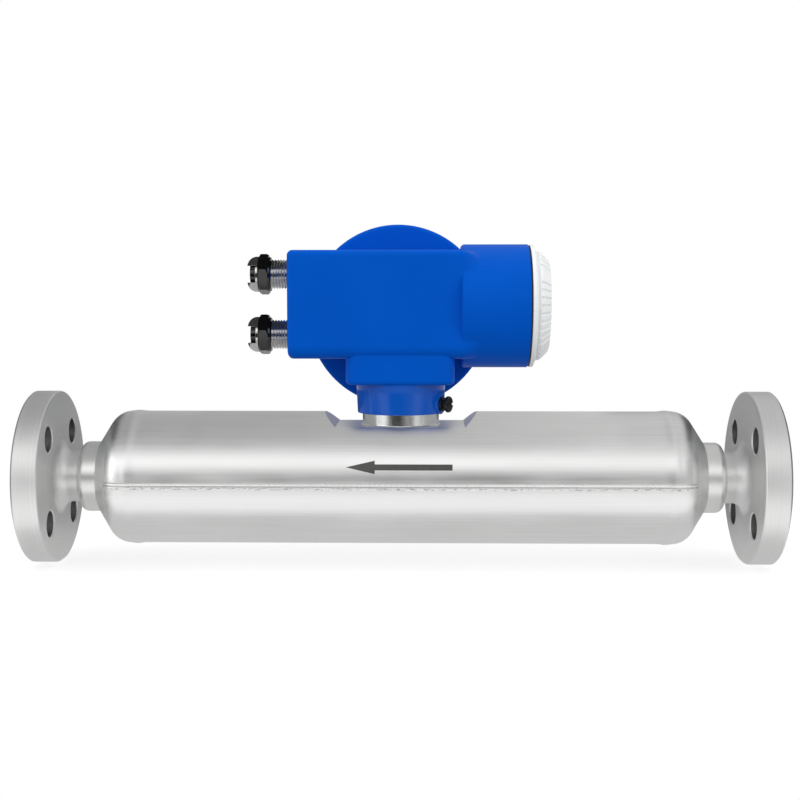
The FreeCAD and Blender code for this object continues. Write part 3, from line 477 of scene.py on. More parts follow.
def solid_box(name, low, high):
    """A box between two corners, to cut with."""
    section = ((low[1], low[2]), (high[1], low[2]), (high[1], high[2]), (low[1], high[2]))
    return mesh_object(name, [(x, y, z) for x in (low[0], high[0]) for y, z in section], tube_faces(2, 4))


def combine(base, other, operation):
    """Joins, cuts or intersects base with other, which is used up."""
    change = base.modifiers.new("combine", "BOOLEAN")
    change.operation = operation
    change.object = other
    change.solver = "EXACT"
    graph = bpy.context.evaluated_depsgraph_get()
    mesh = bpy.data.meshes.new_from_object(base.evaluated_get(graph))
    base.modifiers.clear()
    base.data = mesh
    bpy.data.objects.remove(other)
    tidy(base)
    return base


def cut(base, *tools):
    """Takes each tool away from base."""
    for tool in tools:
        combine(base, tool, "DIFFERENCE")
    return base


def on_lock_axis(made):
    """Turns a piece that was built along the pipe at the origin to the lock screw's axis."""
    middle = Matrix.Translation((MIDDLE_X * MM, 0, 0))
    turn = Matrix.Rotation(math.radians(-LOCK_ANGLE), 4, "Z")
    rise = Matrix.Translation((0, 0, LOCK_Z * MM))
    made.data.transform(middle @ rise @ turn @ middle.inverted())
    return made


def eased(share):
    """A share from 0 to 1 that starts and ends gently."""
    share = min(1.0, max(0.0, share))
    return share * share * (3 - 2 * share)


# Materials

WHITE = (1, 1, 1, 1)
# The dark grey of the painted shade on the walls of the flange's bolt holes
BORE_SHADE_GREY = (0.30, 0.305, 0.30, 1)
# Dark grey for the painted shade line in the weld's groove and for the specks along its lower edge
SHADE_AND_SPECK_GREY = (0.10, 0.10, 0.10)
RING_STREAKS = (900.0, 900.0, 1.0)
STEEL_EDGE = 0.0002
PLAIN_EDGE = 0.00015


class Nodes:
    """A small hand for building a node material around one principled shader."""

    def __init__(self, name):
        self.material = bpy.data.materials.new(name)
        self.material.use_nodes = True
        self.tree = self.material.node_tree
        self.shader = self.tree.nodes["Principled BSDF"]
        self.place = self.add("ShaderNodeTexCoord", {}).outputs["Object"]

    def fill(self, socket, value):
        """Sets a socket to a plain value, or links it to another node's output."""
        if isinstance(value, (int, float, tuple)):
            socket.default_value = value
        else:
            self.tree.links.new(value, socket)

    def add(self, kind, inputs, **settings):
        """A new node with its settings and what goes into it."""
        node = self.tree.nodes.new(kind)
        for key, value in settings.items():
            setattr(node, key, value)
        for key, value in inputs.items():
            self.fill(node.inputs[key], value)
        return node

    def maths(self, operation, *values):
        return self.add("ShaderNodeMath", dict(enumerate(values)), operation=operation).outputs[0]

    def hypot(self, first, second):
        squares = [self.maths("MULTIPLY", value, value) for value in (first, second)]
        return self.maths("SQRT", self.maths("ADD", *squares))

    def xyz(self):
        """The three coordinates of the place."""
        return self.add("ShaderNodeSeparateXYZ", {0: self.place}).outputs

    def scaled(self, scale, source=None):
        inputs = {"Scale": scale, "Vector": source or self.place}
        return self.add("ShaderNodeMapping", inputs).outputs["Vector"]

    def noise(self, vector, scale, detail=3.0, roughness=0.55):
        inputs = {"Vector": vector, "Scale": scale, "Detail": detail, "Roughness": roughness}
        return self.add("ShaderNodeTexNoise", inputs).outputs["Fac"]

    def span(self, source, low, high, from_low=0.3, from_high=0.7):
        inputs = {"Value": source, "From Min": from_low, "From Max": from_high, "To Min": low, "To Max": high}
        return self.add("ShaderNodeMapRange", inputs).outputs["Result"]

    def tones(self, factor, first, second, low=0.3, high=0.7):
        """A blend from the first colour to the second while the factor goes from low to high."""
        node = self.add("ShaderNodeValToRGB", {"Fac": factor})
        for element, position, colour in zip(node.color_ramp.elements, (low, high), (first, second)):
            element.position = position
            element.color = (*colour, 1)
        return node.outputs["Color"]

    def rings(self):
        """A vector that stays the same all the way round the pipe axis."""
        x, y, z = self.xyz()
        return self.add("ShaderNodeCombineXYZ", {"X": x, "Y": self.hypot(y, z)}).outputs[0]

    def bolt_hole_shade(self):
        """1 on the walls of the flange's bolt holes, where shade is painted, and 0 elsewhere."""
        _, y, z = self.xyz()
        centre = BOLT_CIRCLE_R * math.sqrt(0.5) * MM
        away = [self.maths("SUBTRACT", self.maths("ABSOLUTE", value), centre) for value in (y, z)]
        return self.span(self.hypot(*away), 1.0, 0.0, (BOLT_HOLE_R + 0.03) * MM, (BOLT_HOLE_R + 0.1) * MM)

    def painted_dark(self, colour, amount):
        """The colour, turned dark grey as painted shade where the amount is 1."""
        inputs = {"Fac": amount, "Color1": colour, "Color2": BORE_SHADE_GREY}
        return self.add("ShaderNodeMixRGB", inputs).outputs["Color"]

    def seen_directly(self):
        """1 for the rays that show the surface itself: those of the camera, of metal and of glass."""
        rays = self.add("ShaderNodeLightPath", {}).outputs
        seen = self.maths("MAXIMUM", rays["Is Camera Ray"], rays["Is Glossy Ray"])
        return self.maths("MAXIMUM", seen, rays["Is Transmission Ray"])

    def glow(self, strength):
        """A surface that shines white."""
        return self.add("ShaderNodeEmission", {"Color": WHITE, "Strength": strength}).outputs[0]

    def bump(self, height, distance, edges=0.0):
        """Gives the surface a relief, over edges that are rounded to a radius."""
        inputs = {"Height": height, "Distance": distance}
        if edges:
            inputs["Normal"] = self.add("ShaderNodeBevel", {"Radius": edges}, samples=6).outputs["Normal"]
        self.set("Normal", self.add("ShaderNodeBump", inputs).outputs["Normal"])

    def set(self, name, value):
        self.fill(self.shader.inputs[name], value)

    def end_with(self, shader):
        """Sends a shader to the output in place of the principled one."""
        self.fill(self.tree.nodes["Material Output"].inputs["Surface"], shader)


def darker(colour, share):
    """The colour times a share."""
    return tuple(c * share for c in colour)


def steel(name, colour, roughness, streaks, depth, bore_shade=False):
    """Satin stainless steel. Streaks is a scale for each axis, or rings for a turned piece. Bore shade paints
    shade on the walls of the bolt holes.
    """
    made = Nodes(name)
    vector, scale = (made.rings(), RING_STREAKS) if streaks == "rings" else (made.place, streaks)
    fine = made.noise(made.scaled(scale, vector), 1.0, 4.0, 0.6)
    broad = made.noise(made.scaled((1.0, 2.2, 2.2)), 16.0)
    mixed = made.maths("ADD", made.maths("MULTIPLY", fine, 0.5), made.maths("MULTIPLY", broad, 0.5))
    tone = made.tones(mixed, darker(colour, 0.9), colour, 0.35, 0.65)
    # Where bore shade is asked for, the bolt holes' walls are painted dark as shade
    made.set("Base Color", made.painted_dark(tone, made.bolt_hole_shade()) if bore_shade else tone)
    clouds = made.span(broad, roughness - 0.05, roughness + 0.05)
    made.set("Roughness", made.maths("ADD", made.span(fine, -0.03, 0.03), clouds))
    made.set("Metallic", 1.0)
    made.bump(fine, depth, STEEL_EDGE)
    return made.material


def weld(name, colour, roughness):
    """Bright weld metal with a painted shade line along its groove and dark specks along its lower edge."""
    made = Nodes(name)
    height = made.xyz()[2]

    def line(z, depth, dark_to, fades_to):
        """A dark line along the weld, with distances in millimetres from its middle at z."""
        away = made.maths("ABSOLUTE", made.maths("SUBTRACT", height, z * MM))
        return made.span(away, depth, 0.0, dark_to * MM, fades_to * MM)

    specks = made.span(made.noise(made.scaled((300.0, 300.0, 1300.0)), 1.0), 0.0, 1.0, 0.5, 0.6)
    specks = made.maths("MULTIPLY", line(SPECKS_Z, 0.55, 0.4, 0.8), specks)
    # The line along the groove is painted shade; the specks below it are dark marks along the bead's lower
    # edge
    dark = made.maths("MAXIMUM", line(SEAM_GROOVE_Z, 0.42, 0.15, 0.4), specks)
    made.set("Base Color", made.tones(dark, colour, SHADE_AND_SPECK_GREY, 0.0, 1.0))
    grain = made.noise(made.place, 700.0)
    made.set("Roughness", made.span(grain, roughness - 0.05, roughness + 0.05))
    made.set("Metallic", 1.0)
    made.bump(grain, 0.00001)
    return made.material


def paint(name, colour, deep, roughness, edges, specular, grain=0.00002):
    """Powder coat over a casting, with a slight orange peel."""
    made = Nodes(name)
    broad = made.noise(made.place, 28.0)
    made.set("Base Color", made.tones(broad, deep, colour))
    made.set("Roughness", made.span(broad, roughness - 0.03, roughness + 0.04))
    made.set("Specular IOR Level", specular)
    made.bump(made.noise(made.place, 900.0, 2.0), grain, edges)
    return made.material


def plain(name, colour, roughness, metallic=0.0, scale=400.0, depth=0.00001):
    """A moulded, plated or rubber surface with a fine grain and slight change of tone."""
    made = Nodes(name)
    grain = made.noise(made.place, scale)
    broad = made.noise(made.place, 60.0, 2.0)
    made.set("Base Color", made.tones(broad, darker(colour, 0.88), colour))
    made.set("Roughness", made.span(grain, roughness - 0.05, roughness + 0.05))
    made.set("Metallic", metallic)
    made.bump(grain, depth, PLAIN_EDGE)
    return made.material


def glass(name):
    """Clear window glass with a faint change of roughness."""
    made = Nodes(name)
    made.set("Base Color", (0.96, 0.98, 0.98, 1))
    made.set("Transmission Weight", 1.0)
    made.set("IOR", 1.5)
    made.set("Roughness", made.span(made.noise(made.place, 120.0), 0.01, 0.04))
    return made.material


MATERIALS = {
    # The flange's steel carries painted shade in its bolt holes
    "flange_steel": steel("flange_steel", (0.83, 0.835, 0.825), 0.48, "rings", 0.000004, bore_shade=True),
    "turned_steel": steel("turned_steel", (0.84, 0.84, 0.83), 0.36, "rings", 0.000003),
    "neck_steel": steel("neck_steel", (0.80, 0.81, 0.81), 0.2, "rings", 0.000002),
    "casing_steel": steel("casing_steel", (0.88, 0.885, 0.875), 0.37, (12.0, 700.0, 700.0), 0.000003),
    "weld_steel": weld("weld_steel", (0.94, 0.94, 0.93), 0.30),
    "tube_steel": steel("tube_steel", (0.68, 0.68, 0.67), 0.28, (20.0, 600.0, 600.0), 0.000003),
    "coil_copper": plain("coil_copper", (0.50, 0.20, 0.09), 0.35, 1.0),
    "magnet_nickel": plain("magnet_nickel", (0.62, 0.60, 0.56), 0.2, 1.0),
    "grey_plastic": plain("grey_plastic", (0.30, 0.32, 0.33), 0.45),
    "black_plastic": plain("black_plastic", (0.02, 0.02, 0.022), 0.45),
    "black_rubber": plain("black_rubber", (0.012, 0.012, 0.012), 0.6),
    "brass_parts": plain("brass_parts", (0.60, 0.42, 0.16), 0.3, 1.0),
    "blue_paint": paint("blue_paint", (0.0, 0.100, 0.60), (0.0, 0.092, 0.56), 0.34, 0.0009, 0.025),
    "blue_gloss": paint("blue_gloss", (0.0, 0.092, 0.53), (0.0, 0.085, 0.49), 0.14, 0.0005, 0.4, 0.000002),
    "white_paint": paint("white_paint", (0.95, 0.965, 0.975), (0.92, 0.935, 0.945), 0.38, 0.0004, 0.4),
    "board_green": plain("board_green", (0.01, 0.12, 0.04), 0.35),
    "display_glass": plain("display_glass", (0.05, 0.07, 0.06), 0.15),
    "zinc_screws": plain("zinc_screws", (0.60, 0.60, 0.59), 0.3, 1.0),
    "aluminium_plate": steel("aluminium_plate", (0.72, 0.73, 0.74), 0.35, (500.0, 20.0, 500.0), 0.000004),
    "window_glass": glass("window_glass"),
    "gland_nickel": plain("gland_nickel", (0.62, 0.62, 0.61), 0.15, 1.0, 300.0, 0.000003),
    # A near-black copy of the gland nickel for the hexagon, its darkness painted shade
    "nickel_painted_dark": plain("nickel_painted_dark", (0.065, 0.067, 0.065), 0.2, 1.0, 300.0, 0.000003),
    "black_steel": plain("black_steel", (0.012, 0.012, 0.014), 0.35, 0.4),
    "mark": plain("mark", (0.10, 0.10, 0.095), 0.5, 0.6),
}


def coat(made, look):
    """Gives a piece one material."""
    made.data.materials.clear()
    made.data.materials.append(MATERIALS[look])


def dress(made, body, slot, *replaced, look=None):
    """Gives a finished piece its material and its body, and hides the nodes it stands for. Look names its
    material where that isn't the slot's own."""
    coat(made, look or slot)
    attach(made, body)
    if replaced:
        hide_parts(*replaced)


def cad_materials():
    """Gives every carried-over node the material of its slot."""
    for part in frame["record"]["subparts"]:
        coat(frame["nodes"][part["node"]], part["material_slot"])


# Pipe ends


def flange(name, side):
    """Flange with its raised face, hub and bolt holes."""
    rim_out = HALF_L - RAISED_T
    rim_in = rim_out - RIM_T
    made = lathe(name, [
        (side * HALF_L, PIPE_BORE_R, 0.3),
        (side * HALF_L, RAISED_R, 0.3),
        (side * rim_out, RAISED_R, 0.3),
        (side * rim_out, RIM_R - RIM_EDGE, 0.2),
        (side * (rim_out - RIM_EDGE), RIM_R, 0.2),
        (side * rim_in, RIM_R, RIM_EDGE),
        (side * rim_in, HUB_R, HUB_FILLET),
        (side * COLLAR_FACE_X, HUB_R, 0),
        (side * COLLAR_FACE_X, PIPE_BORE_R, 0),
    ])
    for k in range(BOLT_COUNT):
        angle = 2 * math.pi * (k + 0.5) / BOLT_COUNT
        centre = (0, BOLT_CIRCLE_R * math.cos(angle), BOLT_CIRCLE_R * math.sin(angle))
        cut(made, lathe("drill", [
            (side * (rim_in - PAST), 0, 0),
            (side * (rim_in - PAST), BOLT_HOLE_R + HOLE_EDGE + PAST, 0),
            (side * (rim_in + HOLE_EDGE), BOLT_HOLE_R, 0),
            (side * (rim_out + PAST), BOLT_HOLE_R, 0),
            (side * (rim_out + PAST), 0, 0),
        ], "x", centre, HOLE_STEPS))
    return made


def skewed_cone(name, start, start_r, end, end_r, end_y):
    """A cone between a round mouth on the pipe axis and a smaller one beside it, to cut with."""
    verts = []
    for x, radius, y in ((start, start_r, 0), (end, end_r, end_y)):
        for k in range(HOLE_STEPS):
            angle = 2 * math.pi * k / HOLE_STEPS
            verts.append((x, y + radius * math.cos(angle), radius * math.sin(angle)))
    return mesh_object(name, verts, tube_faces(2, HOLE_STEPS))


def splitter(name, side):
    """Collar and flow splitter: one bore that divides into a socket for each measuring tube."""
    made = plug(name, side * COLLAR_FACE_X, side * SPLITTER_IN_X, COLLAR_R, steps=TURN_STEPS,
                rounds=(COLLAR_ROUND, ROOM_ROUND))
    chamber_x = COLLAR_FACE_X - CHAMBER_DEPTH
    socket_x = SPLITTER_IN_X + SOCKET_DEPTH
    cut(made, plug("way", side * chamber_x, side * (COLLAR_FACE_X + PAST), PIPE_BORE_R + CHAMBER_STEP))
    for y in (-TUBE_Y, TUBE_Y):
        throat = skewed_cone("throat", side * (chamber_x + OVERLAP), PIPE_BORE_R, side * socket_x,
                             TUBE_R - TUBE_WALL, y)
        socket = plug("socket", side * (SPLITTER_IN_X - PAST), side * (socket_x + OVERLAP), TUBE_R + WELD_GAP,
                      "x", (0, y, 0), HOLE_STEPS)
        cut(made, throat, socket)
    return made


def end_cone(name, side):
    """Cone between the casing and the collar, with the weld's narrow groove at both of its edges."""
    wall_x = CONE_WALL / math.sin(CONE_ANGLE)
    inner_end = CONE_END_X - wall_x
    split_r = CASING_R - (SPLIT_X - SHOULDER_X) * CONE_SLOPE
    bore_r = COLLAR_R + WELD_GAP
    return lathe(name, [
        (side * SPLIT_X, split_r, SPLIT_ROUND),
        (side * CONE_END_X, bore_r, 0.3),
        (side * inner_end, bore_r, 0),
        (side * SPLIT_X, bore_r + (inner_end - SPLIT_X) * CONE_SLOPE, 0),
    ], steps=FINE_STEPS)


# Casing


def casing_outline(inset, end_x):
    """Corners of the casing's revolved outline, moved in by inset. The skin has extra ones to swell."""
    radius = CASING_R - inset
    corner = SHOULDER_X - inset * math.tan(CONE_ANGLE / 2)
    end_r = radius - (end_x - corner) * CONE_SLOPE
    rounding = SHOULDER_ROUND - inset
    edge = SPLIT_ROUND if inset == 0 else 0
    straight = corner - rounding * math.tan(CONE_ANGLE / 2) - 0.2
    run = [SWELL_X + SWELL_W * 0.25 * k for k in range(-12, 13)] if inset == 0 else []
    right = [(x, radius, 0) for x in run if x < straight]
    left = [(-x, radius, 0) for x, _, _ in reversed(right)]
    return [(-end_x, 0, 0), (-end_x, end_r, edge), (-corner, radius, rounding)] + left + right + [
        (corner, radius, rounding), (end_x, end_r, edge), (end_x, 0, 0)]


def flat_cutter(inset):
    """What is taken off the casing's top for the neck: a flat floor with two slopes of 45 degrees."""
    floor_z = FLAT_Z - inset
    half = FLAT_HALF_L + inset * math.tan(math.radians(22.5))
    rise = CASING_R + PAST - floor_z
    verts = []
    for y in (-CASING_R - PAST, CASING_R + PAST):
        for x, z in ((-half, 0), (half, 0), (half + rise, rise), (-half - rise, rise)):
            verts.append((x, y, floor_z + z))
    return mesh_object("flat_cutter", verts, tube_faces(2, 4))


def swelling(x):
    """The slight swelling that rolling leaves near each end of the casing."""
    return SWELL * math.exp(-((abs(x) - SWELL_X) / SWELL_W) ** 2)


def swell(made):
    """Pushes the casing's skin out along the two swellings."""
    for vertex in made.data.vertices:
        x = vertex.co.x / MM - MIDDLE_X
        radius = math.hypot(vertex.co.y, vertex.co.z) / MM
        if radius > 1:
            grow = 1 + swelling(x) / radius
            vertex.co.y *= grow
            vertex.co.z *= grow


def casing_half(name, up):
    """One half shell of the casing, parted along the seam."""
    made = lathe(name, casing_outline(0, SPLIT_X), steps=FINE_STEPS)
    swell(made)
    cut(made, flat_cutter(0))
    room = lathe("room", casing_outline(CASING_WALL, SPLIT_X + PAST), steps=SMALL_STEPS)
    cut(made, cut(room, flat_cutter(CASING_WALL)))
    reach = CASING_R + 2
    low, high = (-reach, 0) if up else (0, reach)
    cut(made, solid_box("half", (-HALF_L, -reach, low), (HALF_L, reach, high)))
    if up:
        cut(made, plug("hole", FLAT_Z - 2 * CASING_WALL, FLAT_Z + PAST, NECK_BORE_R, "z"))
    return made


def radius_on(line, x):
    """The radius at x of an outline that runs from left to right."""
    for near, far in zip(line, line[1:]):
        if near.x <= x <= far.x and far.x > near.x:
            return near.y + (far.y - near.y) * (x - near.x) / (far.x - near.x)
    return line[1].y


def seam_height(x, z, side):
    """How far the weld stands out from the casing: a round ridge, a groove, and a wandering bead below."""
    drift = noise.noise(Vector((x * 0.09, side * 9.0, 2.0)))
    ripple = noise.noise(Vector((x * 0.55, side * 5.0, 7.0)))
    across = (z - RIDGE_Z) / RIDGE_HALF_W
    ridge = SEAM_PROUD * max(0.0, 1 - across * across) ** 0.5
    off_bead = (z - BEAD_Z - 0.25 * drift) / BEAD_HALF_W
    bead = (BEAD_PROUD + 0.22 * ripple + 0.10 * drift) * math.exp(-off_bead ** 4)
    return ridge + bead + SEAM_LEAST


def seam(name, side):
    """The weld along the front or the back where the two halves meet."""
    line = outline(casing_outline(0, SPLIT_X), closed=False)
    columns = int(2 * (SPLIT_X - SEAM_END_GAP) / SEAM_STEP) + 1
    verts = []
    for i in range(columns):
        x = -SPLIT_X + SEAM_END_GAP + i * SEAM_STEP
        radius = radius_on(line, -abs(x)) + swelling(x)
        near_end = min(1.0, (SPLIT_X - abs(x)) / SEAM_TAPER_L)
        taper = near_end * (2 - near_end)
        for j in range(SEAM_ROWS):
            z = -SEAM_BELOW + (SEAM_BELOW + SEAM_ABOVE) * j / (SEAM_ROWS - 1)
            lift = seam_height(x, z, side) * taper if 0 < j < SEAM_ROWS - 1 else -SEAM_EDGE_SUNK
            verts.append((x, side * (math.sqrt(radius ** 2 - z ** 2) + lift), z))
        for z in (SEAM_ABOVE, -SEAM_BELOW):
            verts.append((x, side * (math.sqrt(radius ** 2 - z ** 2) - SEAM_ROOT), z))
    return mesh_object(name, verts, tube_faces(columns, SEAM_ROWS + 2), 60.0)


def arrow():
    """The flow direction arrow on the casing's front, a film a few hundredths of a millimetre proud."""
    spans = []
    for k in range(31):
        x = ARROW_TIP_X + (ARROW_HEAD_X - ARROW_TIP_X) * k / 30
        spans.append((x, max(ARROW_HEAD_HALF * k / 30, LEAST_ROUND)))
    for k in range(61):
        x = ARROW_HEAD_X + OVERLAP + (ARROW_TAIL_X - ARROW_HEAD_X) * k / 60
        spans.append((x, ARROW_SHAFT_HALF))
    rows = 12
    verts = []
    for x, half in spans:
        levels = [ARROW_Z - half + 2 * half * j / rows for j in range(rows + 1)]
        for lift, run in ((ARROW_PROUD, levels), (-ARROW_SUNK, levels[::-1])):
            verts.extend((x, -math.sqrt(CASING_R ** 2 - z ** 2) - lift, z) for z in run)
    return mesh_object("flow_arrow", verts, tube_faces(len(spans), 2 * (rows + 1)))


def neck():
    """The turned steel neck with its two grooves."""
    foot_z = FLAT_Z + FOOT_EDGE
    foot_r = NECK_R + NECK_FOOT + FOOT_EDGE
    half_groove = GROOVE_W / 2
    half_seal = NECK_SEAL_W / 2 + FACE_GAP
    return lathe("neck_piece", [
        (FLAT_Z, NECK_BORE_R, 0),
        (FLAT_Z, foot_r, 0),
        (foot_z, foot_r, 0),
        (foot_z, NECK_R, NECK_FOOT),
        (LOCK_Z - half_groove, NECK_R, 0.15),
        (LOCK_Z - half_groove, NECK_R - GROOVE_DEPTH, 0),
        (LOCK_Z + half_groove, NECK_R - GROOVE_DEPTH, 0),
        (LOCK_Z + half_groove, NECK_R, 0),
        (NECK_SEAL_Z - half_seal, NECK_R, 0),
        (NECK_SEAL_Z - half_seal, NECK_R - NECK_SEAL_DEPTH, 0),
        (NECK_SEAL_Z + half_seal, NECK_R - NECK_SEAL_DEPTH, 0),
        (NECK_SEAL_Z + half_seal, NECK_R, 0),
        (NECK_TOP_Z, NECK_R, 0.3),
        (NECK_TOP_Z, NECK_BORE_R, 0.3),
    ], "z")


# Transmitter head


def barrel_form():
    """The terminal side's barrel, round at its left end."""
    return plug("barrel", BARREL_START, BARREL_END, BARREL_R, "x", (0, 0, BARREL_Z), BARREL_STEPS,
                (BARREL_ROUND, RIM_ROUND))


def blend_form():
    """The casting's shoulders, which lead from the box's section to the barrel's circle."""
    section = rounded_rect(BOX_HALF_D, BOX_HALF_H, BOX_ROUNDS, 0)
    loop = []
    for near, far in zip(section, section[1:] + section[:1]):
        pieces = max(1, int((far - near).length))
        loop.extend(near.lerp(far, k / pieces) for k in range(pieces))
    rows = 24
    verts = []
    for i in range(rows + 1):
        share = eased(i / rows)
        for p in loop:
            y, z = p.x, p.y + BOX_MIDDLE_Z - BARREL_Z
            scale = (BARREL_R - BLEND_SUNK) / math.hypot(y, z)
            y += (y * scale - y) * share
            z += (z * scale - z) * share
            verts.append((BARREL_START + BLEND_L * i / rows, y, z + BARREL_Z))
    return mesh_object("blend", verts, tube_faces(rows + 1, len(loop)))


def housing():
    """The transmitter's casting down to its pad: box, drum, barrel and pad, with their rooms."""
    box_centre = (0, 0, BOX_MIDDLE_Z)
    drum_centre = (DRUM_X, 0, DRUM_Z)
    barrel_centre = (0, 0, BARREL_Z)
    made = prism("housing_piece", BOX_HALF_D, BOX_HALF_H, BOX_ROUNDS, BOX_LEFT, BARREL_START + OVERLAP,
                 (BOX_ROUND, 0), "x", box_centre)
    drum = plug("drum", DRUM_BACK_Y, DRUM_FRONT_Y, DRUM_R, "y", drum_centre, FINE_STEPS,
                (DRUM_ROUND, RIM_ROUND))
    pad = prism("pad", PAD_HALF_W, PAD_HALF_D, (PAD_ROUND,) * 4, PAD_BOTTOM_Z, BOX_BOTTOM_Z + WALL,
                (PAD_LOW_ROUND, 0), "z", (0, 0, 0))
    for form in (blend_form(), drum, pad, barrel_form()):
        combine(made, form, "UNION")
    drum_room = plug("drum_room", DRUM_BACK_Y + WALL + 0.02, DRUM_FRONT_Y + PAST, DRUM_R - WALL, "y",
                     drum_centre, TURN_STEPS)
    cut(drum_room, barrel_form())
    room = prism("room", BOX_HALF_D - WALL, BOX_HALF_H - WALL, (ROOM_ROUND,) * 4, BOX_LEFT + WALL,
                 BARREL_START + WALL, (ROOM_ROUND, ROOM_ROUND), "x", box_centre)
    cut(made, drum_room, room,
        plug("seat", BARREL_START + WALL - ROOM_ROUND, BARREL_SEAT_X + PAST, BARREL_SEAT_R, "x",
             barrel_centre, NUT_STEPS),
        plug("bore", BARREL_SEAT_X, BARREL_END + PAST, BARREL_BORE_R, "x", barrel_centre, TURN_STEPS),
        plug("neck_bore", HOUSING_SOCKET_Z - PAST, NECK_TOP_Z + FACE_GAP, SOCKET_BORE_R, "z"),
        plug("cable_way", NECK_TOP_Z - 0.5, BOX_BOTTOM_Z + WALL + PAST, CABLE_WAY_R, "z"),
        plug("plug_hole", BOX_HALF_D - WALL - PAST, BOX_HALF_D + PAST, PLUG_HOLE_R, "y", (DRUM_X, 0, PLUG_Z),
             HOLE_STEPS))
    for z in GLAND_LEVELS.values():
        cut(made, plug("gland_hole", BOX_LEFT - PAST, BOX_LEFT + WALL + ROOM_ROUND, THREAD_R + WELD_GAP, "x",
                       (0, 0, z), HOLE_STEPS))
    return made


def housing_socket():
    """The casting's turned socket for the neck, with the boss for the clamp screw."""
    top_z = PAD_BOTTOM_Z + SOCKET_IN_PAD
    made = lathe("housing_socket_piece", [
        (HOUSING_SOCKET_Z, 0, 0),
        (HOUSING_SOCKET_Z, SOCKET_BOTTOM_R, RIM_ROUND),
        (top_z, SOCKET_TOP_R, 0),
        (top_z, 0, 0),
    ], "z")
    boss = plug("boss", SOCKET_BORE_R - PAST, LOCK_SEAT_R, LOCK_BOSS_R, steps=HOLE_STEPS, rounds=(0, 0.25))
    combine(made, on_lock_axis(boss), "UNION")
    bore = plug("neck_bore", HOUSING_SOCKET_Z - PAST, PAD_BOTTOM_Z + PAST, SOCKET_BORE_R, "z")
    lock_hole = plug("lock_hole", LOCK_HOLE_START_R, LOCK_SEAT_R + PAST, LOCK_HOLE_R, steps=BORE_STEPS)
    return cut(made, bore, on_lock_axis(lock_hole))


def flute_depth(angle, along, radius):
    """How deep a grip groove cuts into the terminal cover at this angle and place."""
    depth = 0.0
    for group in range(FLUTE_GROUPS):
        middle = 90.0 + FLUTE_PHASE + group * 360.0 / FLUTE_GROUPS
        off = (angle - middle + 180.0) % 360.0 - 180.0
        k = round(off / FLUTE_STEP)
        if abs(k) > (FLUTES_PER_GROUP - 1) / 2:
            continue
        across = abs(math.radians(off - k * FLUTE_STEP)) * radius
        wall = eased((FLUTE_W / 2 + FLUTE_SOFT / 2 - across) / FLUTE_SOFT)
        depth = max(depth, FLUTE_DEPTH * wall)
    return depth * eased((along - FLUTE_W * 0.7) / FLUTE_RUN_OUT)


def terminal_cover():
    """The fluted cover of the terminals."""
    skirt_r = BARREL_BORE_R - FIT_GAP
    skirt_bore = skirt_r - COVER_SKIRT_T
    groove_x = COVER_FACE_X + COVER_BAND_T
    dome_x = groove_x + COVER_GROOVE_W
    nose_x = dome_x + COVER_DOME_L
    dome_r = COVER_R - COVER_DOME_STEP
    nose_r = dome_r - COVER_DOME_FALL
    points = outline([
        (nose_x - COVER_WALL, 0, 0),
        (nose_x - COVER_WALL, nose_r - COVER_WALL, 0),
        (groove_x, skirt_bore, 0),
        (COVER_FACE_X - COVER_SKIRT_L, skirt_bore, 0),
        (COVER_FACE_X - COVER_SKIRT_L, skirt_r, 0.3),
        (COVER_FACE_X, skirt_r, 0),
        (COVER_FACE_X, COVER_R, RIM_ROUND),
        (groove_x, COVER_R, RIM_ROUND),
        (groove_x, COVER_R - COVER_GROOVE_DEPTH, 0),
        (dome_x, COVER_R - COVER_GROOVE_DEPTH, 0),
        (dome_x, dome_r, COVER_DOME_ROUND),
        (nose_x, nose_r, COVER_NOSE_ROUND),
        (nose_x, 0, 0),
    ], closed=False)
    line = []
    for near, far in zip(points, points[1:]):
        line.append(near)
        if near.x > dome_x and far.x > dome_x and near.y > 1 and far.y > 1:
            pieces = int((far - near).length / COVER_STEP)
            line.extend(near.lerp(far, k / pieces) for k in range(1, pieces))
    rings = [p for p in line if p.y > ON_AXIS]
    inside_x = nose_x - COVER_WALL + 0.1
    verts = []
    for i in range(COVER_COLUMNS):
        angle = 360.0 * i / COVER_COLUMNS
        turn = math.radians(angle)
        for p in rings:
            radius = p.y
            fluted_from = nose_r - COVER_NOSE_ROUND - 1 if p.x > inside_x else nose_r
            if p.x > dome_x and radius > fluted_from:
                radius -= flute_depth(angle, p.x - dome_x, radius)
            verts.append((p.x, radius * math.cos(turn), BARREL_Z + radius * math.sin(turn)))
    rows = len(rings)
    faces = grid_faces(COVER_COLUMNS, rows, around=True)
    faces += [tuple(i * rows + j for i in range(COVER_COLUMNS)) for j in (0, rows - 1)]
    return mesh_object("terminal_cover_piece", verts, faces, 40.0)


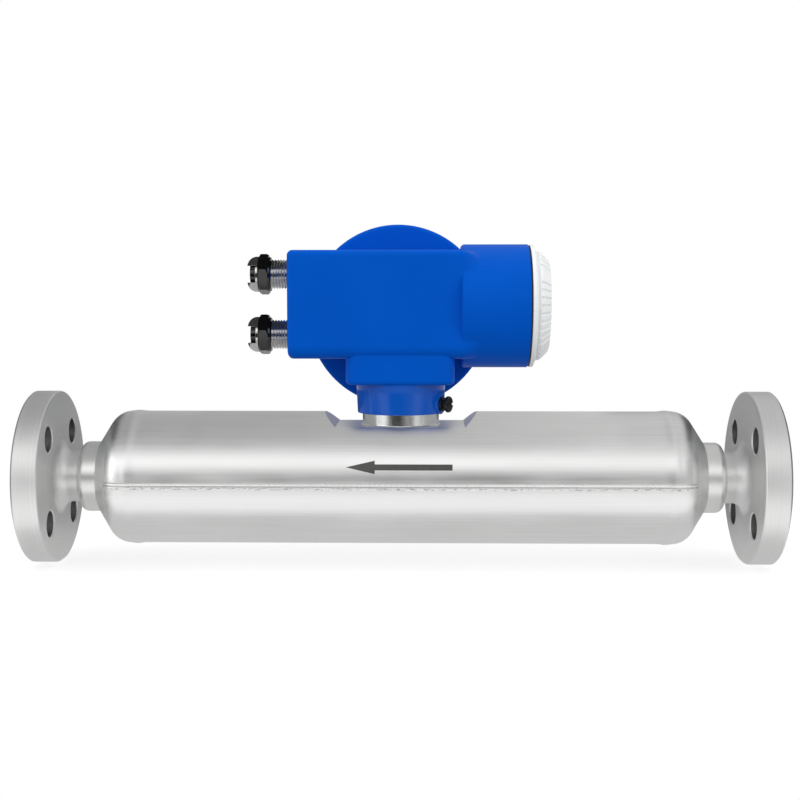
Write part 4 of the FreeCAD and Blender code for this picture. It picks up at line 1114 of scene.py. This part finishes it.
def display_cover():
    """The display side's cover, with its grip notches round the rim."""
    start = DRUM_FRONT_Y + SEAL_T + 2 * FACE_GAP
    groove_y = start + DISPLAY_BAND_T
    rim_y = groove_y + DISPLAY_GROOVE_W
    nose_y = rim_y + DISPLAY_DOME_L
    skirt_r = DRUM_R - WALL - FIT_GAP
    skirt_bore = skirt_r - DISPLAY_SKIRT_T
    retainer_y = WINDOW_Y - RETAINER_T
    seat_r = WINDOW_R + WELD_GAP
    made = lathe("display_cover_piece", [
        (start - DISPLAY_SKIRT_L, skirt_bore, 0.3),
        (start - DISPLAY_SKIRT_L, skirt_r, RIM_ROUND),
        (start, skirt_r, 0),
        (start, DRUM_R, RIM_ROUND),
        (groove_y, DRUM_R, RIM_ROUND),
        (groove_y, DRUM_R - DISPLAY_GROOVE_DEPTH, 0),
        (rim_y, DRUM_R - DISPLAY_GROOVE_DEPTH, 0),
        (rim_y, DISPLAY_RIM_R, 1.0),
        (nose_y, DISPLAY_NOSE_R, 2.0),
        (nose_y, WINDOW_VIEW_R, 0.4),
        (nose_y - WINDOW_LIP, WINDOW_VIEW_R, 0),
        (nose_y - WINDOW_LIP, seat_r, 0),
        (retainer_y, seat_r, 0),
        (retainer_y, skirt_bore, 0),
    ], "y", (DRUM_X, 0, DRUM_Z), FINE_STEPS)
    for k in range(GRIP_COUNT):
        angle = 2 * math.pi * k / GRIP_COUNT
        reach = DRUM_R + GRIP_OUT
        centre = (DRUM_X + reach * math.cos(angle), 0, DRUM_Z + reach * math.sin(angle))
        cut(made, plug("grip", rim_y - WELD_GAP, nose_y + PAST, GRIP_R, "y", centre, HOLE_STEPS))
    return made


def window():
    """The round glass behind the display cover's lip."""
    return plug("window_piece", WINDOW_Y, WINDOW_Y + WINDOW_T, WINDOW_R, "y", (DRUM_X, 0, DRUM_Z), TURN_STEPS,
                (0.3, 0.3))


# Cable glands


def screw_thread(name, z):
    """The gland's threaded shank, a right-hand thread that is bored through."""
    start = GLAND_SHANK_START_X
    end = GLAND_SHANK_END_X
    columns = 72
    rows = int((start - end) / THREAD_STEP)
    verts = []
    for i in range(columns):
        turn = 2 * math.pi * i / columns
        loop = []
        for j in range(rows + 1):
            x = start + (end - start) * j / rows
            phase = (x / THREAD_PITCH + i / columns) % 1.0
            flank = min(1.0, max(0.0, (abs(phase - 0.5) * 2 - 0.1) / 0.8))
            loop.append((x, THREAD_R - THREAD_DEPTH * flank))
        loop += [(end, GLAND_BORE_R), (start, GLAND_BORE_R)]
        verts.extend((x, radius * math.cos(turn), z + radius * math.sin(turn)) for x, radius in loop)
    return mesh_object(name, verts, grid_faces(columns, rows + 3, around=True, ring=True), 50.0)


def gland_body(name, z):
    """Collar, hexagon and spigot of a gland, with the insert's seat."""
    collar_x = GLAND_SHANK_END_X
    hex_x = collar_x - GLAND_COLLAR_T
    spigot_x = hex_x - GLAND_HEX_L
    end_x = spigot_x - GLAND_SPIGOT_L
    seat_x = end_x - INSERT_PROUD + INSERT_L
    centre = (0, 0, z)
    corner_r = GLAND_HEX / math.sqrt(3)
    verts = []
    for x in (hex_x + 0.3, spigot_x):
        for k in range(6):
            turn = math.radians(GLAND_HEX_TURN + 60 * k)
            verts.append((x, corner_r * math.cos(turn), z + corner_r * math.sin(turn)))
    made = mesh_object(name, verts, tube_faces(2, 6))
    chamfers = lathe("chamfers", [
        (hex_x + 0.5, 0, 0),
        (hex_x + 0.5, corner_r - 1.3, 0),
        (hex_x - 0.9, corner_r + 0.2, 0),
        (spigot_x + 1.0, corner_r + 0.2, 0),
        (spigot_x, corner_r - 1.2, 0),
        (spigot_x - 0.2, corner_r - 1.4, 0),
        (spigot_x - 0.2, 0, 0),
    ], "x", centre, SMALL_STEPS)
    combine(made, chamfers, "INTERSECT")
    collar = plug("collar", collar_x, hex_x - 0.2, GLAND_COLLAR_R, "x", centre, SMALL_STEPS, (RIM_ROUND, 0))
    combine(made, collar, "UNION")
    combine(made, plug("spigot", end_x, spigot_x + PAST, GLAND_SPIGOT_R, "x", centre, HOLE_STEPS), "UNION")
    return cut(made, plug("seat", end_x - PAST, seat_x, GLAND_SEAT_R, "x", centre, HOLE_STEPS),
               plug("bore", seat_x - PAST, collar_x + PAST, GLAND_BORE_R, "x", centre, BORE_STEPS))


def gland_insert(name, z):
    """The rubber insert that grips the cable."""
    start = NUT_X - GLAND_SPIGOT_L - INSERT_PROUD
    end = start + INSERT_L - FACE_GAP
    return lathe(name, [
        (start, GLAND_BORE_R, 0.4),
        (start, INSERT_R, 0.3),
        (end, INSERT_R, 0.2),
        (end, GLAND_BORE_R, 0),
    ], "x", (0, 0, z), SMALL_STEPS)


def gland_nut(name, z):
    """The domed nut, slotted across its end."""
    start = NUT_X - NUT_GAP
    end = start - NUT_L
    made = lathe(name, [
        (start, NUT_BORE_R, 0),
        (start, NUT_R, RIM_ROUND),
        (end, NUT_R, NUT_ROUND),
        (end, NUT_MOUTH_R, 0),
        (end + NUT_LIP, NUT_MOUTH_R, 0),
        (end + NUT_LIP, NUT_BORE_R, 0),
    ], "x", (0, 0, z), NUT_STEPS)
    half = NOTCH_W / 2
    reach = NUT_R + PAST
    return cut(made, solid_box("notch", (end - PAST, -reach, z - half), (end + NOTCH_DEPTH, reach, z + half)))


# Lock screw


def lock_screw():
    """The black clamp screw with its waist and slotted head."""
    waist_r = LOCK_SEAT_R + FACE_GAP + LOCK_WASHER_T
    head_r = waist_r + LOCK_WAIST_L
    end_r = head_r + LOCK_HEAD_L
    tip_r = NECK_R - GROOVE_DEPTH + FACE_GAP
    made = lathe("lock_screw_piece", [
        (tip_r, 0, 0),
        (tip_r, LOCK_SHANK_R, 0.5),
        (waist_r, LOCK_SHANK_R, 0.3),
        (waist_r, LOCK_WAIST_R, 0.3),
        (head_r, LOCK_WAIST_R, 0.5),
        (head_r, LOCK_HEAD_R, LOCK_HEAD_ROUND),
        (end_r, LOCK_HEAD_R, LOCK_HEAD_ROUND),
        (end_r, 0, 0),
    ], steps=SMALL_STEPS)
    half = LOCK_SLOT_W / 2
    reach = LOCK_HEAD_R + PAST
    slot = solid_box("slot", (end_r - LOCK_SLOT_DEPTH, -reach, -half), (end_r + PAST, reach, half))
    return on_lock_axis(cut(made, slot))


def lock_washer():
    """The washer under the clamp screw."""
    start = LOCK_SEAT_R + FACE_GAP
    end = start + LOCK_WASHER_T - FACE_GAP
    bore_r = LOCK_SHANK_R + WELD_GAP
    return on_lock_axis(lathe("lock_washer_piece", [
        (start, bore_r, 0),
        (start, LOCK_WASHER_R, 0.3),
        (end, LOCK_WASHER_R, 0.3),
        (end, bore_r, 0),
    ], steps=SMALL_STEPS))


def build():
    """Every piece in place of its node, on its body and in its slot's material."""
    for end, side in (("inlet", 1), ("outlet", -1)):
        dress(flange(end + "_flange_piece", side), "sensor", "flange_steel", end + "_flange")
        dress(splitter(end + "_splitter_piece", side), "sensor", "turned_steel", end + "_splitter")
        dress(end_cone(end + "_cone_piece", side), "sensor", "casing_steel", end + "_end_cone")
    dress(casing_half("upper_shell_piece", True), "sensor", "casing_steel", "upper_shell")
    dress(casing_half("lower_shell_piece", False), "sensor", "casing_steel", "lower_shell")
    dress(seam("front_seam_piece", -1), "sensor", "weld_steel", "front_seam_weld")
    dress(seam("back_seam_piece", 1), "sensor", "weld_steel", "back_seam_weld")
    dress(neck(), "sensor", "turned_steel", "neck", look="neck_steel")
    dress(arrow(), "sensor", "casing_steel", look="mark")
    dress(housing(), "head", "blue_paint", "transmitter_housing")
    dress(housing_socket(), "head", "blue_paint", "transmitter_housing", look="blue_gloss")
    dress(display_cover(), "display_cover", "blue_paint", "display_cover")
    dress(window(), "display_cover", "window_glass", "window_glass")
    dress(terminal_cover(), "terminal_cover", "white_paint", "terminal_cover")
    for level, z in GLAND_LEVELS.items():
        body = level + "_gland_body"
        dress(screw_thread(level + "_gland_thread", z), "head", "gland_nickel", body)
        # The hexagon takes the near-black copy of the nickel, which paints shade on it
        dress(gland_body(level + "_gland_hexagon", z), "head", "gland_nickel", body, look="nickel_painted_dark")
        insert = gland_insert(level + "_insert_piece", z)
        dress(insert, level + "_insert", "black_rubber", level + "_gland_insert")
        dress(gland_nut(level + "_nut_piece", z), level + "_nut", "gland_nickel", level + "_gland_nut")
    dress(lock_screw(), "lock_screw", "black_steel", "lock_screw")
    dress(lock_washer(), "lock_washer", "black_steel", "lock_washer")


# Camera, lights and floor, in metres, but in millimetres for the camera and the cards by the glands

PHOTO_LENS = 57.054
SENSOR = 36.0
CAMERA_AT = (13.58, -697.35, 98.82)
CAMERA_AZIMUTH = 1.154
CAMERA_ELEVATION = 4.596
LAMP_TARGET = (0, 0, 0.04)
FLOOR_Z = FLANGE_LOW[2] * MM
FLOOR_SINK = 0.0006
FLOOR_HALF = 6.0
FLOOR_GLOW = 0.66
FLOOR_FADE = (0.10, 0.30)
FLOOR_FADE_STRETCH = 1.6
FLAT_LIFT = 0.0008
SIDE_LIFT = 0.001
UNDER_LIFT = 0.0012
STUDIO_X = 2.6
STUDIO_BACK = 2.4
STUDIO_TOP = 1.9
FRONT_Y = -0.8
FRONT_LEFT = -0.36
FRONT_RIGHT = 0.38
FRONT_CHANGE = (0.0, 0.30)
SIDE_X = 0.62
SIDE_NEAR_X = 0.30
SIDE_BACK = 1.2
MEETING_Y = 0.55
SHADE_LIFT = 0.012
SHADE_X = 0.0265
SHADE_FRONT = -0.045
SHADE_LEVELS = (0.04, 0.98)
GLAND_CARD_X = (-36, -0.5)
GLAND_CARD_Y = (-0.020, 0.030)
GLAND_CARD_OFF = 14


def camera():
    """The photograph's viewpoint, fitted to the flange rims, the holes and the casing."""
    data = bpy.data.cameras.new("camera")
    data.sensor_width = SENSOR
    data.lens = PHOTO_LENS
    data.clip_start = 0.01
    data.clip_end = 100.0
    made = placed("camera", data)
    turn = math.radians(CAMERA_AZIMUTH)
    rise = math.radians(CAMERA_ELEVATION)
    back = Vector((math.sin(turn) * math.cos(rise), -math.cos(turn) * math.cos(rise), math.sin(rise)))
    made.rotation_mode = "QUATERNION"
    made.rotation_quaternion = (-back).to_track_quat("-Z", "Y")
    made.location = ((CAMERA_AT[0] + MIDDLE_X) * MM, CAMERA_AT[1] * MM, CAMERA_AT[2] * MM)
    bpy.context.scene.camera = made


def lamp(name, at, target, size, level):
    """A soft rectangular lamp that faces a target. Places are about the meter's middle, and level is how
    bright its own face is, where 1 is white."""
    data = bpy.data.lights.new(name, "AREA")
    data.shape = "RECTANGLE"
    data.size, data.size_y = size
    data.energy = level * math.pi * size[0] * size[1]
    made = placed(name, data)
    made.location = (at[0] + MIDDLE_X * MM, at[1], at[2])
    made.rotation_mode = "QUATERNION"
    made.rotation_quaternion = (Vector(target) - Vector(at)).to_track_quat("-Z", "Y")


def lights():
    """A wide softbox in front and above, stronger on its left, and a tall one at each side of the camera."""
    lamp("key", (0.0, -1.45, 0.87), LAMP_TARGET, (3.2, 0.42), 0.36)
    lamp("key_left", (-0.85, -1.44, 0.87), (-0.85, 0, 0.04), (1.6, 0.40), 0.24)
    lamp("left", (-1.38, -0.73, 0.34), LAMP_TARGET, (0.85, 0.85), 1.0)
    lamp("right", (1.25, -0.85, 0.38), LAMP_TARGET, (0.45, 0.90), 1.6)


def world():
    """A white studio."""
    made = bpy.data.worlds.new("studio")
    bpy.context.scene.world = made
    made.use_nodes = True
    back = made.node_tree.nodes["Background"]
    back.inputs["Color"].default_value = WHITE
    back.inputs["Strength"].default_value = 1.0


def card(name, corners, level, right_level=None, reach=(-0.5, 0.5)):
    """A grey card that only shows in the metal, as the flags round a product table do. Over reach it can
    change to another level on its right."""
    mesh = bpy.data.meshes.new(name)
    mesh.from_pydata([(x + MIDDLE_X * MM, y, z) for x, y, z in corners], [], [(0, 1, 2, 3)])
    made = placed(name, mesh)
    surface = Nodes(name)
    start, end = [MIDDLE_X * MM + x for x in reach]
    change = surface.span(surface.xyz()[0], level, right_level or level, start, end)
    grain = surface.span(surface.noise(surface.place, 2.0), 0.96, 1.04)
    surface.end_with(surface.glow(surface.maths("MULTIPLY", change, grain)))
    mesh.materials.append(surface.material)
    made.visible_camera = False
    made.visible_diffuse = False
    made.visible_shadow = False
    made.visible_transmission = False


def flat_card(name, low, high, z, *levels):
    """A card that lies level between two corners, each given as x and y."""
    corners = ((low[0], low[1], z), (high[0], low[1], z), (high[0], high[1], z), (low[0], high[1], z))
    card(name, corners, *levels)


def upright_card(name, start, end, top, *levels):
    """A card that stands on the floor from start to end, each given as x and y."""
    card(name, ((*start, FLOOR_Z), (*end, FLOOR_Z), (*end, top), (*start, top)), *levels)


def cards():
    """Greys round the meter that give the steel its bands, and dark ones by the glands."""
    flat_z = FLOOR_Z + FLAT_LIFT
    side_z = FLOOR_Z + SIDE_LIFT
    flat_card("ceiling_card", (-STUDIO_X, -1.5), (STUDIO_X, STUDIO_BACK), STUDIO_TOP, 0.38, 0.66)
    upright_card("back_card", (-STUDIO_X, STUDIO_BACK), (STUDIO_X, STUDIO_BACK), STUDIO_TOP, 0.48)
    upright_card("front_card", (FRONT_LEFT, FRONT_Y), (FRONT_RIGHT, FRONT_Y), 0.22, 0.02, 0.36, FRONT_CHANGE)
    flat_card("front_floor_near", (-0.24, -0.52), (0.28, -0.36), flat_z, 0.02, 0.50, FRONT_CHANGE)
    flat_card("front_floor_far", (FRONT_LEFT, FRONT_Y), (FRONT_RIGHT, -0.52), flat_z, 0.02, 0.30,
              FRONT_CHANGE)
    for name, near, far in (("left_wing", FRONT_LEFT, -0.66), ("right_wing", FRONT_RIGHT, 0.66)):
        upright_card(name, (near, FRONT_Y), (far, FRONT_Y), 0.14, 0.06)
        flat_card(name + "_floor", (min(near, far), FRONT_Y), (max(near, far), -0.58), flat_z, 0.06)
    for name, side in (("left", -1), ("right", 1)):
        upright_card(name + "_card", (side * SIDE_X, -0.14), (side * SIDE_X, SIDE_BACK), 0.7, 0.05)
        near, far = sorted((side * SIDE_NEAR_X, side * 0.215))
        flat_card(name + "_floor_near", (near, 0.0), (far, SIDE_BACK), side_z, 0.05)
        near, far = sorted((side * SIDE_X, side * SIDE_NEAR_X))
        flat_card(name + "_floor_far", (near, -0.30), (far, SIDE_BACK), side_z, 0.05)
    upright_card("right_far_card", (0.95, -0.1), (0.70, -0.95), 0.75, 0.50)
    flat_card("back_floor_near", (-STUDIO_X, 0.10), (STUDIO_X, MEETING_Y), flat_z, 0.24)
    flat_card("back_floor_far", (-STUDIO_X, MEETING_Y), (STUDIO_X, STUDIO_BACK), flat_z, 0.62)
    flat_card("under_card", (-0.215, -0.055), (0.215, 0.10), FLOOR_Z + UNDER_LIFT, 0.63)
    shade_z = HOUSING_SOCKET_Z * MM + SHADE_LIFT
    for name, near, far in (("shade_left", -0.115, -SHADE_X), ("shade_right", SHADE_X, 0.115)):
        flat_card(name, (near, SHADE_FRONT), (far, 0.060), shade_z, *SHADE_LEVELS)
    flat_card("shade_middle", (-SHADE_X, SHADE_FRONT), (SHADE_X, -0.0215), shade_z, *SHADE_LEVELS)
    start, end = [(BOX_LEFT + x) * MM for x in GLAND_CARD_X]
    front, back = GLAND_CARD_Y
    for name, z in GLAND_LEVELS.items():
        flat_card(name + "_gland_dark", (start, front), (end, back), (z + GLAND_CARD_OFF) * MM, 0.05)
        flat_card(name + "_gland_light", (start, front), (end, back), (z - GLAND_CARD_OFF) * MM, 0.62)


def floor():
    """A pale floor under the flanges that keeps the shadow and turns to plain white further away."""
    mesh = bpy.data.meshes.new("floor")
    corners = ((-1, -1), (1, -1), (1, 1), (-1, 1))
    low = FLOOR_Z - FLOOR_SINK
    mesh.from_pydata([(x * FLOOR_HALF, y * FLOOR_HALF, low) for x, y in corners], [], [(0, 1, 2, 3)])
    made = placed("floor", mesh)
    surface = Nodes("floor")
    surface.set("Base Color", (0.45, 0.45, 0.45, 1))
    surface.set("Roughness", surface.span(surface.noise(surface.place, 40.0), 0.75, 0.85))
    surface.set("Specular IOR Level", 0.0)
    seen = surface.seen_directly()
    lit = surface.glow(surface.maths("MULTIPLY", seen, FLOOR_GLOW))
    near = surface.add("ShaderNodeAddShader", {0: surface.shader.outputs[0], 1: lit}).outputs[0]
    x, y, _ = surface.xyz()
    across = surface.maths("DIVIDE", surface.maths("SUBTRACT", x, MIDDLE_X * MM), FLOOR_FADE_STRETCH)
    far = surface.maths("MULTIPLY", surface.span(surface.hypot(across, y), 0.0, 1.0, *FLOOR_FADE), seen)
    surface.end_with(surface.add("ShaderNodeMixShader", {0: far, 1: near, 2: surface.glow(1.0)}).outputs[0])
    mesh.materials.append(surface.material)


camera()
lights()
world()
floor()
cards()
cad_materials()
build()

bpy.context.scene.view_settings.view_transform = "Standard"
